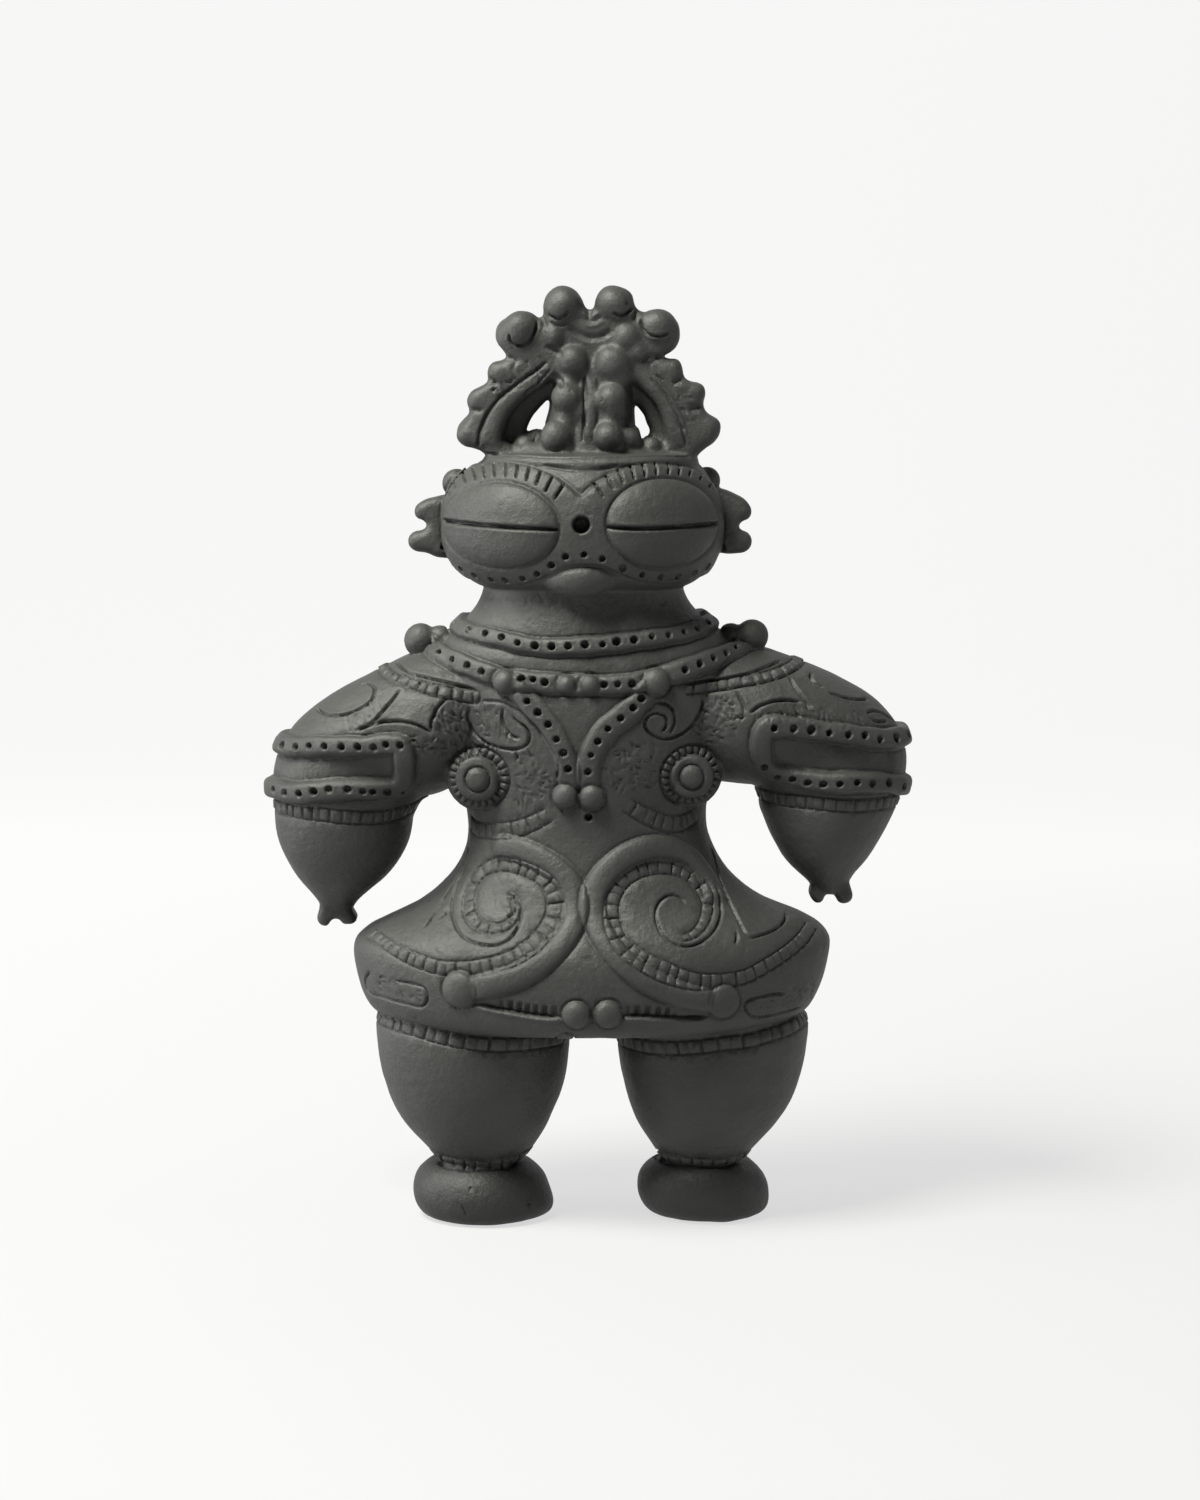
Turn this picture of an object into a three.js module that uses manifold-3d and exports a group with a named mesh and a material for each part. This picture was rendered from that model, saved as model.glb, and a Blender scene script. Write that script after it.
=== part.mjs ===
// A goggle-eyed dogu: a hollow-fired black clay figure, built as one closed solid in millimetres.
// +Z is up, the face looks along -Y, and the origin is on the ground, under the middle of the figure.

import * as THREE from "three";
import { mergeVertices } from "three/addons/utils/BufferGeometryUtils.js";
import Module from "manifold-3d";

const wasm = await Module();
wasm.setup();

// Driving dimensions, in millimetres.
const HEIGHT = 342;
const STRIP_SUNK = 1.3; // how deep a strip's edges lie in the body
const PELLET_SUNK = 1.5; // how deep a pellet's middle lies in the body
const COLLAR_WIDE = 2.6; // half widths and heights of the strips
const COLLAR_HIGH = 2.2;
const LAPEL_WIDE = 2.8;
const LAPEL_HIGH = 2;
const RIM_WIDE = 3;
const RIM_HIGH = 2.2;
const TAPE_WIDE = 2.9;
const TAPE_HIGH = 1.1;
const ROLL_WIDE = 3.6;
const ROLL_HIGH = 2.2;
const CROWN_THICK = 25; // front to back of the openwork crown
const CROWN_BEVEL = 3; // rounding of the crown's edges
const SLIT_WIDE = 1.1; // half width and depth of the slit between the eyelids
const SLIT_DEEP = 2.4;
const NOSE_HOLE_RADIUS = 2.7;
const NOSE_HOLE_DEEP = 8;

// The figure's proportions are shares of its height: every table of the body is drawn on a figure
// that is DRAWN_HEIGHT tall, and share() brings a drawn length to this one's.
const DRAWN_HEIGHT = 342;
const share = (length) => (length * HEIGHT) / DRAWN_HEIGHT;

// Facets round each form.
const BODY_SIDES = 24;
const HEAD_SIDES = 20;
const ARM_SIDES = 12;
const LEG_SIDES = 14;
const FOOT_SIDES = 14;
const POST_SIDES = 12;
const LOBE_SIDES = 8;
const BALL_SIDES = 7;
const BALL_RINGS = 4;

// One ring of a form: the centre, two half axes, and how square it is (2 is an ellipse).
function ring(centre, along, across, sides, square = 2, back = across) {
  const points = [];
  for (let i = 0; i < sides; i++) {
    const turn = (2 * Math.PI * i) / sides;
    const [c, s] = [Math.cos(turn), Math.sin(turn)];
    const half = s < 0 ? across : back;
    points.push(
      centre
        .clone()
        .addScaledVector(along, Math.sign(c) * Math.abs(c) ** (2 / square))
        .addScaledVector(half, Math.sign(s) * Math.abs(s) ** (2 / square)),
    );
  }
  return points;
}

// A closed form through rings that each turn anticlockwise, seen from the end it grows towards.
function loft(rings) {
  const sides = rings[0].length;
  const middle = (points) =>
    points
      .reduce((sum, p) => sum.add(p), new THREE.Vector3())
      .divideScalar(sides);
  const vertices = [
    ...rings.flat(),
    middle(rings[0]),
    middle(rings[rings.length - 1]),
  ];
  const [foot, crown] = [vertices.length - 2, vertices.length - 1];
  const last = (rings.length - 1) * sides;
  const index = [];
  for (let i = 0; i < sides; i++) {
    const j = (i + 1) % sides;
    index.push(foot, j, i, crown, last + i, last + j);
    for (let base = 0; base < last; base += sides)
      index.push(
        base + i,
        base + j,
        base + sides + j,
        base + i,
        base + sides + j,
        base + sides + i,
      );
  }
  const geometry = new THREE.BufferGeometry().setFromPoints(vertices);
  geometry.setIndex(index);
  return geometry;
}

// An upright form through rows of a table.
const upright = (rows, sides, square) =>
  loft(
    rows.map(([z, x, wide, front, behind]) =>
      ring(
        new THREE.Vector3(share(x), 0, share(z)),
        new THREE.Vector3(share(wide), 0, 0),
        new THREE.Vector3(0, share(front), 0),
        sides,
        square,
        new THREE.Vector3(0, share(behind), 0),
      ),
    ),
  );

// Rows of an upright form: height, middle x, half width, half depth in front, half depth behind.
const TORSO = [
  [80, 1, 77, 43, 41],
  [85, 1, 83.5, 48.5, 45],
  [101, 1, 87, 50.5, 47.5],
  [107, 1.3, 84, 48.7, 45.7],
  [113, 2, 75, 45, 42],
  [119, 2, 63, 42, 38.5],
  [127, 1.5, 53, 39, 35],
  [140, 1, 45, 35.5, 32],
  [155, 0, 44.5, 35.5, 31.5],
  [175, 0, 50.5, 38, 33],
  [195, 0, 57, 37.5, 33],
  [207, 0, 60, 35.5, 32.5],
  [215, 0, 55, 34, 32],
  [223, -1, 43.5, 31.5, 30.5],
  [236, -1.5, 36.5, 30, 29.5],
];

const HEAD = [
  [231, -1.5, 30, 24, 24],
  [235, -1.5, 39.5, 32.5, 30],
  [241, -1.7, 46, 37, 33.5],
  [249, -2, 50, 39.2, 35.5],
  [260, -2, 51, 39, 36],
  [269, -1.7, 48.5, 37, 34.5],
  [276, -1, 43.5, 33, 31],
  [284, 0.5, 38.5, 28.5, 27.5],
  [285.5, 0.5, 34, 24, 24],
];

const LEGS = [
  [
    [19, -40, 15.5, 15.5, 15.5],
    [24, -39.6, 18.8, 18.5, 18.5],
    [33, -40.9, 24.8, 24, 23.5],
    [44, -41.7, 30.4, 29.5, 29],
    [57, -42, 34, 33, 32.5],
    [84, -42.5, 35.4, 34, 33.5],
  ],
  [
    [19, 42.6, 15.5, 15.5, 15.5],
    [24, 42.6, 18.6, 18.5, 18.5],
    [33, 43.5, 23.9, 23.5, 23],
    [44, 44.9, 29.5, 28.7, 28.2],
    [57, 45.4, 33.1, 32, 31.5],
    [84, 45.6, 34.6, 33.5, 33],
  ],
];

const FEET = [
  [
    [0, -40, 19.5, 19.5, 19],
    [2.5, -40, 23, 23.3, 22.3],
    [8, -40, 25, 25.5, 24.5],
    [13.5, -40, 24.2, 24.7, 23.7],
    [18.5, -40.1, 20, 20.2, 19.7],
    [22, -40, 14, 14, 14],
  ],
  [
    [0, 42.3, 18.5, 19, 18.5],
    [2.5, 42.3, 21.9, 22.8, 21.8],
    [8, 42.3, 23.8, 25, 24],
    [13.5, 42.2, 23.2, 24.2, 23.2],
    [18.5, 42.4, 19.3, 20, 19.5],
    [22, 42.6, 14, 14, 14],
  ],
];

// Arms, from the chest to the hand. A row is the outer point's x and z, the inner point's, and half depth.
const ARMS = [
  [
    [-26, 219, -34, 162, 32],
    [-52, 213, -48, 161.5, 31.5],
    [-74, 203.7, -58, 162, 29.5],
    [-94, 192.5, -62.5, 159.5, 27.5],
    [-108.5, 180, -64.4, 156.5, 26.2],
    [-115.2, 164, -64.9, 153, 25.2],
    [-114.5, 149, -65.1, 148, 24.2],
    [-111.3, 135, -69.8, 135, 20.5],
    [-104.5, 125, -77, 124.5, 14],
    [-99.7, 118.5, -85.4, 118.5, 8],
    [-99.5, 113.5, -85.5, 113.5, 6.5],
    [-100.5, 110, -84, 110, 5.5],
  ],
  [
    [26, 219, 34, 162, 32],
    [53, 213, 46, 163.5, 31.5],
    [77, 205, 56, 164, 29.5],
    [98, 195, 60.5, 162, 27.5],
    [112.5, 182, 62.6, 158.5, 26.2],
    [116.2, 170, 63, 156, 25.5],
    [112.5, 153.5, 64.4, 151, 24.2],
    [103.8, 136, 72.3, 136, 18.5],
    [96, 125, 81.8, 125, 8.5],
    [96.5, 119, 81, 119, 5.5],
    [97, 116.5, 80.5, 116.5, 4.5],
  ],
];
// The notch in each hand's tip: x, z and radius, and how far it runs through.
const NOTCH_DEEP = 30;
const HAND_NOTCHES = [
  [-92.3, 109.5, 3],
  [88.7, 116.2, 3.2],
];

function arm(rows) {
  const side = Math.sign(rows[0][0]);
  return loft(
    rows.map(([outerX, outerZ, innerX, innerZ, deep]) => {
      const outer = new THREE.Vector3(share(outerX), 0, share(outerZ));
      const inner = new THREE.Vector3(share(innerX), 0, share(innerZ));
      const half = outer.clone().sub(inner).divideScalar(2);
      const depth = new THREE.Vector3(0, -side * share(deep), 0);
      return ring(
        outer.clone().add(inner).divideScalar(2),
        half,
        depth,
        ARM_SIDES,
        2.2,
      );
    }),
  );
}

// A closed geometry as a solid that can be joined and cut.
function solid(geometry) {
  const bare = geometry.clone();
  bare.deleteAttribute("normal");
  bare.deleteAttribute("uv");
  const merged = mergeVertices(bare, 1e-4);
  return new wasm.Manifold(
    new wasm.Mesh({
      numProp: 3,
      vertProperties: new Float32Array(merged.attributes.position.array),
      triVerts: new Uint32Array(merged.index.array),
    }),
  );
}

function geometryOf(made) {
  const mesh = made.getMesh();
  const geometry = new THREE.BufferGeometry();
  geometry.setAttribute(
    "position",
    new THREE.BufferAttribute(new Float32Array(mesh.vertProperties), 3),
  );
  geometry.setIndex(new THREE.BufferAttribute(new Uint32Array(mesh.triVerts), 1));
  return geometry;
}

const torso = upright(TORSO, BODY_SIDES, 2.2);
const head = upright(HEAD, HEAD_SIDES, 2.2);
const legs = LEGS.map((rows) => upright(rows, LEG_SIDES, 2));
const feet = FEET.map((rows) => upright(rows, FOOT_SIDES, 2));
const arms = ARMS.map(arm);
const join = (solids) => solids.reduce((a, b) => a.add(b));
const body = join([torso, head, ...legs, ...feet, ...arms].map(solid));

// Where a line from outside first meets a form: the point and the way its surface faces.
const caster = new THREE.Raycaster();
function target(geometry) {
  const mesh = new THREE.Mesh(
    geometry,
    new THREE.MeshBasicMaterial({ side: THREE.DoubleSide }),
  );
  return (from, towards) => {
    caster.set(from, towards.clone().normalize());
    const met = caster.intersectObject(mesh)[0];
    if (!met) return null;
    const facing = met.face.normal.clone();
    if (facing.dot(towards) > 0) facing.negate();
    return { point: met.point, facing };
  };
}
const onBody = target(geometryOf(body));
const FAR = HEIGHT;

// A point of the front (side -1) or the back (side 1) at a drawn x and z.
const faceOn = (x, z, side = -1, surface = onBody) =>
  surface(
    new THREE.Vector3(share(x), side * FAR, share(z)),
    new THREE.Vector3(0, -side, 0),
  );

// A smooth line through drawn x, z points, laid on the front or the back in equal steps.
function draped(points, steps, side = -1) {
  const line = new THREE.CatmullRomCurve3(
    points.map(([x, z]) => new THREE.Vector3(x, 0, z)),
    false,
    "centripetal",
  );
  return line
    .getSpacedPoints(steps)
    .map((p) => faceOn(p.x, p.z, side))
    .filter(Boolean);
}

// A line round an upright form, from one turn to another, at the height that level(turn) gives.
function wrapped(geometry, x, level, steps, from = 0, to = 2 * Math.PI) {
  const surface = target(geometry);
  const closed = to - from >= 2 * Math.PI - 1e-6;
  const line = [];
  for (let i = 0; i < steps + (closed ? 0 : 1); i++) {
    const turn = from + ((to - from) * i) / steps;
    const outward = new THREE.Vector3(Math.cos(turn), Math.sin(turn), 0);
    const centre = new THREE.Vector3(share(x), 0, share(level(turn)));
    const met = surface(
      centre.clone().addScaledVector(outward, FAR),
      outward.clone().negate(),
    );
    if (met) line.push(met);
  }
  return line;
}

// A strip of clay laid along a line on the body: a low ridge, closed at both ends or round a loop.
function strip(line, wide, high, closed = false, sunk = STRIP_SUNK) {
  const profile = [
    [wide, -sunk],
    [0, high],
    [-wide, -sunk],
  ];
  const count = line.length;
  const rings = line.map(({ point, facing }, i) => {
    const before = line[closed ? (i + count - 1) % count : Math.max(i - 1, 0)];
    const after = line[closed ? (i + 1) % count : Math.min(i + 1, count - 1)];
    const along = after.point.clone().sub(before.point).normalize();
    const normal = before.facing.clone().add(after.facing).add(facing);
    normal.addScaledVector(along, -normal.dot(along)).normalize();
    const across = normal.clone().cross(along);
    return profile.map(([side, lift]) =>
      point
        .clone()
        .addScaledVector(across, side)
        .addScaledVector(normal, lift),
    );
  });
  if (!closed) return solid(loft(rings));
  const half = Math.floor(count / 2);
  return solid(loft(rings.slice(0, half + 1))).add(
    solid(loft([...rings.slice(half), rings[0]])),
  );
}

// A round or oval boss on the body. A row of its profile is a share of the half width, and a lift.
function boss(x, z, wide, tall, profile, sides, side = -1) {
  const root = faceOn(x, z, side);
  return solid(
    loft(
      profile.map(([out, lift]) => {
        const points = [];
        for (let i = 0; i < sides; i++) {
          const turn = (side * -2 * Math.PI * i) / sides;
          const edge = faceOn(
            x + wide * out * Math.cos(turn),
            z + tall * out * Math.sin(turn),
            side,
          );
          const met = edge || root;
          points.push(met.point.clone().addScaledVector(met.facing, share(lift)));
        }
        return points;
      }),
    ),
  );
}

// A pellet of clay: a ball pressed into the body.
function ball(centre, radius) {
  const geometry = new THREE.SphereGeometry(radius, BALL_SIDES, BALL_RINGS);
  geometry.rotateX(Math.PI / 2);
  geometry.translate(centre.x, centre.y, centre.z);
  return solid(geometry);
}
const pellet = (x, z, radius, side = -1, surface = onBody) =>
  ball(
    faceOn(x, z, side, surface).point.clone().add(new THREE.Vector3(0, -side * PELLET_SUNK, 0)),
    share(radius),
  );

// Collars round the neck and over the shoulders, and the two lapels that hang from them.
const neckCollar = strip(
  wrapped(torso, -1, (turn) => 219.5 + 4 * Math.sin(turn), 16),
  COLLAR_WIDE,
  COLLAR_HIGH,
  true,
);
const CHEST_COLLAR = [
  [-59, 213.5],
  [-42, 208],
  [-31, 204],
  [-19, 202],
  [-3, 200.5],
  [11, 201],
  [24, 202.5],
  [37, 207],
  [57, 214],
];
const chestCollars = [-1, 1].map((side) =>
  strip(draped(CHEST_COLLAR, 9, side), COLLAR_WIDE, COLLAR_HIGH),
);
const LAPELS = [
  [
    [-27, 201],
    [-15, 188],
    [-7.5, 172],
    [-6.5, 164],
  ],
  [
    [23, 200],
    [9, 185],
    [1.8, 169],
    [1.8, 164],
  ],
];
const lapels = LAPELS.map((points) =>
  strip(draped(points, 4), LAPEL_WIDE, LAPEL_HIGH),
);

// Pellets: x, z and radius.
const CHEST_PELLETS = [
  [-28, 202, 5.2],
  [24.5, 202.5, 5.6],
  [-7, 201.5, 3.7],
  [1.2, 201.3, 4],
  [-7.2, 161.5, 4.7],
  [2.2, 161.8, 4.7],
];
const SKIRT_PELLETS = [
  [-46, 94, 5.5],
  [-6, 86, 5],
  [7, 86.5, 5],
  [50, 91, 5],
];
// Balls that stand free of the surface: x, y, z and radius.
const SHOULDER_BALLS = [
  [-60.5, -3, 213.5, 6.8],
  [57.8, -3, 213.5, 7],
];
const EAR_LOBES = [
  [-55, 2, 261.5, 6.8],
  [-58, 2, 250.5, 7],
  [-48, 10, 272, 5.5],
  [51.5, 2, 261.8, 7.3],
  [52, 2, 250.5, 7.2],
  [45, 10, 272, 5.5],
];
// The two knobs on top of the crown.
const KNOBS = [
  [-8.7, 0, 335, 7],
  [9.5, 0, 335.2, 6.8],
];
// Pellets on the crown's post: x, z, radius, and the side that they are on.
const CROWN_PELLETS = [
  [-11.3, 323.6, 4.6, -1],
  [15.1, 324, 5.5, -1],
  [-5.3, 315.7, 6, -1],
  [9.4, 313.2, 7, -1],
  [-7.8, 303.5, 5.4, -1],
  [7.6, 302.4, 5.8, -1],
  [-11.3, 288, 5.6, -1],
  [9, 289, 5.6, -1],
  [-6, 314, 6.5, 1],
  [8, 314, 6.5, 1],
];

// The crown: an arched plate with scalloped edges, a window each side and a post in front and behind.
const CROWN_EDGE = [
  [-37.5, 281],
  [-40, 287],
  [-36.8, 298.4],
  [-30.2, 309.2],
  [-24.8, 321],
  [-15, 330],
  [0.7, 332],
  [16, 330.5],
  [24.4, 322.9],
  [30.6, 309.2],
  [37.5, 299],
  [41.5, 288.7],
  [39, 281],
];
// Lobes on its edge: x, z and radius.
const CROWN_LOBES = [
  [-43.7, 289.8, 5.2],
  [-39, 300.2, 5.2],
  [-32.8, 310, 4.8],
  [-25.5, 324.4, 7.3],
  [43, 290.2, 5.6],
  [37.9, 302.4, 5.4],
  [30.6, 312.1, 5.2],
  [26.6, 325.1, 7.4],
];
// Windows: corners at the face, and the smaller ones halfway through.
const CROWN_WINDOWS = [
  [
    [
      [-12, 286.5],
      [-11.5, 306],
      [-15, 307],
      [-24, 302.5],
      [-29.5, 296],
      [-31, 286.5],
    ],
    [
      [-11.5, 288.5],
      [-11, 303],
      [-13.5, 305],
      [-18.3, 300],
      [-21, 294.5],
      [-23, 288.5],
    ],
  ],
  [
    [
      [28.5, 286.5],
      [26.5, 295],
      [21.5, 301],
      [15.5, 305],
      [13.5, 304],
      [13.5, 286.5],
    ],
    [
      [23.8, 287.5],
      [23, 293.5],
      [19.5, 298.5],
      [16, 301],
      [13.5, 300],
      [13.5, 287.5],
    ],
  ],
];
// The post, in rows as the torso's: it stands out in front of the plate and behind it.
const CROWN_POST = [
  [281, 2, 17, 22, 22],
  [286, 2, 15.2, 21.5, 21.5],
  [297, 2, 13.8, 20.5, 20.5],
  [312, 2, 13.5, 18, 18],
  [322, 2.5, 15, 14, 14],
];

function disc(x, z, radius, thick, sides) {
  const geometry = new THREE.CylinderGeometry(radius, radius, thick, sides);
  geometry.translate(share(x), 0, share(z));
  return solid(geometry);
}

function crownPlate() {
  const outline = new THREE.Shape(
    CROWN_EDGE.map(([x, z]) => new THREE.Vector2(share(x), share(z))),
  );
  const plate = new THREE.ExtrudeGeometry(outline, {
    depth: CROWN_THICK - 2 * CROWN_BEVEL,
    bevelThickness: CROWN_BEVEL,
    bevelSize: CROWN_BEVEL,
    bevelOffset: -CROWN_BEVEL,
    bevelSegments: 1,
  });
  plate.rotateX(Math.PI / 2);
  plate.translate(0, CROWN_THICK / 2 - CROWN_BEVEL, 0);
  return solid(plate);
}

function windowCutter([face, middle]) {
  const layer = (corners, y) =>
    corners.map(([x, z]) => new THREE.Vector3(share(x), y, share(z)));
  const out = CROWN_THICK / 2 + 1;
  return solid(
    loft([
      layer(face, -out).reverse(),
      layer(middle, 0).reverse(),
      layer(face, out).reverse(),
    ]),
  );
}

const crown = join([
  CROWN_WINDOWS.reduce(
    (plate, shape) => plate.subtract(windowCutter(shape)),
    join([
      crownPlate(),
      ...CROWN_LOBES.map(([x, z, radius]) =>
        disc(x, z, share(radius), CROWN_THICK - 2 * CROWN_BEVEL, LOBE_SIDES),
      ),
    ]),
  ),
  solid(upright(CROWN_POST, POST_SIDES, 2)),
]);
const onCrown = target(geometryOf(crown));

// Goggles: a strap round each eye, a swollen lid across it, and the slit between the lids.
const EYES = [
  { x: -30, z: 258, wide: 20.3, tall: 15.6 },
  { x: 26.3, z: 258.5, wide: 19.8, tall: 15.6 },
];
const LID = [
  [0.7, -3],
  [0.98, -0.6],
  [0.8, 2.2],
  [0.42, 3.6],
];
const RIM_GAP = 2.6; // from the lid's edge to the middle of the strap
const RIM_STEPS = 16;
const LID_SIDES = 14;
function eye({ x, z, wide, tall }) {
  const loop = [];
  for (let i = 0; i < RIM_STEPS; i++) {
    const turn = (2 * Math.PI * i) / RIM_STEPS;
    const met = faceOn(
      x + (wide + RIM_GAP) * Math.cos(turn),
      z + (tall + RIM_GAP) * Math.sin(turn),
    );
    if (met) loop.push(met);
  }
  return strip(loop, RIM_WIDE, RIM_HIGH, true).add(
    boss(x, z, wide, tall, LID, LID_SIDES),
  );
}
const eyes = EYES.map(eye);
const LID_TOP = LID[LID.length - 1][1];
const SLIT_STEPS = 4;
const slits = EYES.map(({ x, z, wide }) => {
  const line = [];
  for (let i = 0; i <= SLIT_STEPS; i++) {
    const across = (2 * i) / SLIT_STEPS - 1;
    const met = faceOn(x + across * wide, z);
    const lift = share(LID_TOP) * Math.sqrt(1 - across ** 2);
    if (met)
      line.push({
        point: met.point.clone().add(new THREE.Vector3(0, -lift, 0)),
        facing: new THREE.Vector3(0, -1, 0),
      });
  }
  return strip(line, SLIT_WIDE, SLIT_DEEP, false, SLIT_DEEP);
});
const MOUTH = [
  [0.7, -2],
  [1, -0.3],
  [0.6, 2.6],
];
const mouth = boss(-3.5, 239, 12, 5.5, MOUTH, 10);
const noseHole = new THREE.CylinderGeometry(
  share(NOSE_HOLE_RADIUS),
  share(NOSE_HOLE_RADIUS),
  2 * NOSE_HOLE_DEEP,
  LOBE_SIDES,
);
const noseRoot = faceOn(-2.7, 259).point;
noseHole.translate(noseRoot.x, noseRoot.y, noseRoot.z);

// Concentric bosses of the breasts.
const BREAST = [
  [0.9, -4],
  [1, -0.2],
  [0.97, 1.5],
  [0.6, 1.5],
  [0.45, 3],
];
const BREASTS = [
  [-40, 166],
  [37, 166],
];
const breasts = BREASTS.map(([x, z]) => boss(x, z, 10.6, 10.6, BREAST, 12));

// Armlets: two rims round the outer side of each arm, joined by a short end in front.
const ARMLETS = [
  { form: 0, x: -90, high: 179, low: 162, from: -51, to: -309 },
  { form: 1, x: 89, high: 181, low: 164.5, from: -129, to: 129 },
];
const armlets = ARMLETS.flatMap(({ form, x, high, low, from, to }) => {
  const radians = Math.PI / 180;
  const round = (z) =>
    wrapped(arms[form], x, () => z, 9, from * radians, to * radians);
  const [top, bottom] = [round(high), round(low)];
  return [top, bottom, [top[0], bottom[0]]].map((line) =>
    strip(line, RIM_WIDE, RIM_HIGH),
  );
});

// Scrolls on the belly and hips: a smooth roll outside, and a tape that runs along the hem and winds in.
const ROLLS = [
  [
    [-46, 94],
    [-17, 98],
    [-4, 109],
    [-1, 121],
    [-8, 138],
    [-24, 144.5],
    [-39, 138],
    [-49, 124],
  ],
  [
    [50, 91],
    [22, 94],
    [8, 103],
    [1, 117],
    [4, 134],
    [18, 144],
    [35, 142],
    [47, 128],
  ],
];
const TAPES = [
  [
    [-80, 112],
    [-66, 105],
    [-49, 101],
    [-28, 102],
    [-11, 112],
    [-8, 126],
    [-18, 136.5],
    [-33, 135.5],
    [-43, 127],
    [-42, 117],
    [-32, 113],
    [-24.5, 120],
    [-28, 125.5],
  ],
  [
    [80, 107],
    [66, 101],
    [45, 97],
    [22, 101],
    [8, 114],
    [9, 132],
    [24, 140],
    [38, 136],
    [44, 124],
    [37, 112.5],
    [26, 114],
    [22.5, 123],
  ],
];
const rolls = ROLLS.map((points) =>
  strip(draped(points, 12), ROLL_WIDE, ROLL_HIGH),
);
const tapes = TAPES.map((points) =>
  strip(draped(points, 17), TAPE_WIDE, TAPE_HIGH),
);
const backRolls = ROLLS.map((points) =>
  strip(draped(points, 7, 1), ROLL_WIDE, ROLL_HIGH),
);

const figure = join([
  body,
  neckCollar,
  ...chestCollars,
  ...lapels,
  ...[...CHEST_PELLETS, ...SKIRT_PELLETS].map(([x, z, radius]) =>
    pellet(x, z, radius),
  ),
  ...CROWN_PELLETS.map(([x, z, radius, side]) =>
    pellet(x, z, radius, side, onCrown),
  ),
  ...[...SHOULDER_BALLS, ...EAR_LOBES, ...KNOBS].map(
    ([x, y, z, radius]) =>
      ball(new THREE.Vector3(share(x), share(y), share(z)), share(radius)),
  ),
  crown,
  ...eyes,
  mouth,
  ...breasts,
  ...armlets,
  ...rolls,
  ...tapes,
  ...backRolls,
])
  .subtract(join(slits))
  .subtract(solid(noseHole))
  .subtract(
    join(HAND_NOTCHES.map(([x, z, radius]) => disc(x, z, share(radius), share(NOTCH_DEEP), LOBE_SIDES))),
  );

const clay = new THREE.MeshStandardMaterial({
  name: "black_clay",
  color: 0x454644,
  roughness: 0.6,
  metalness: 0,
});
const geometry = geometryOf(figure);
geometry.computeBoundingBox();
const { min, max } = geometry.boundingBox;
geometry.translate(-(min.x + max.x) / 2, -(min.y + max.y) / 2, -min.z);
const dogu = new THREE.Mesh(geometry, clay);
dogu.name = "dogu";
const group = new THREE.Group();
group.add(dogu);
export default group;
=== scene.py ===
"""The looks of the goggle-eyed dogu: a hand-worked figure of dark grey clay.

The smooth forms are modelled ring by ring and pressed into one skin. The skin is then carved:
strips, tapes, rolls, punctures and cut lines are laid on it along lines drawn over the photograph.
Drawn lengths are millimetres, and drawn points of the relief are pixels of the photograph.
"""

import math

import bpy
import numpy as np
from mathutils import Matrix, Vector


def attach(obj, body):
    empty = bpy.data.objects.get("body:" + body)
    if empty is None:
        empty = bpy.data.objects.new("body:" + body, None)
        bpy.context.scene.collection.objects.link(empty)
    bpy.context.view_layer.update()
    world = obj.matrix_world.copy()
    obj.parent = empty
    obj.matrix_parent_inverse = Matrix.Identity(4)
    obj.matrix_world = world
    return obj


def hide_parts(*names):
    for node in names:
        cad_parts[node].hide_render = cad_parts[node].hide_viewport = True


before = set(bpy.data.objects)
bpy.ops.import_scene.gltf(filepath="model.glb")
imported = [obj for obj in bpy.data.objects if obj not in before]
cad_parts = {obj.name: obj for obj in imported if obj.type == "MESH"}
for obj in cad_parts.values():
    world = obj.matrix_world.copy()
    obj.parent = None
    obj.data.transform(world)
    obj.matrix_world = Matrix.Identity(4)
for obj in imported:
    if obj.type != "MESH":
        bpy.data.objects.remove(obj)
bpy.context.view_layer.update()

MM = 0.001
# The drawing's zero lies here in the frame, in millimetres.
DRAWING_X = -0.17
DRAWING_Y = 1.4

# The photograph: its size and the camera that took it.
PHOTO_WIDE = 1200
PHOTO_TALL = 1500
FOCAL_PIXELS = 3432.8
CAMERA_PITCH = math.radians(6.902)
SENSOR = 36.0

SKIN_GRAIN = 0.43  # distance between the skin's points
SKIN_SOFTENING = 12  # rounds of smoothing that blend the pressed-together forms
CROWN_SOFTENING = 26  # more rounds for the crown, whose balls run into each other
CROWN_FROM = 286
MOST_TRIANGLES = 198000
SEED = 20


def place(x, y, z):
    return Vector(((x + DRAWING_X) * MM, (y + DRAWING_Y) * MM, z * MM))


CAMERA = place(4.37, -1250, 325)


# Sight lines of the photograph

SIGHT_RIGHT = Vector((1, 0, 0))
SIGHT_UP = Vector((0, math.sin(CAMERA_PITCH), math.cos(CAMERA_PITCH)))
SIGHT_AHEAD = Vector((0, math.cos(CAMERA_PITCH), -math.sin(CAMERA_PITCH)))


def sight(pixel):
    """The way from the camera to a pixel of the photograph."""
    right = (pixel[0] - PHOTO_WIDE / 2) / FOCAL_PIXELS
    up = (PHOTO_TALL / 2 - pixel[1]) / FOCAL_PIXELS
    return (SIGHT_AHEAD + SIGHT_RIGHT * right + SIGHT_UP * up).normalized()


def on_plane(pixel, y):
    """Where a pixel's sight line meets the upright plane at a depth of the drawing."""
    way = sight(pixel)
    return CAMERA + way * ((place(0, y, 0).y - CAMERA.y) / way.y)


# The smooth forms

def begin():
    bpy.ops.object.select_all(action="DESELECT")


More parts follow.
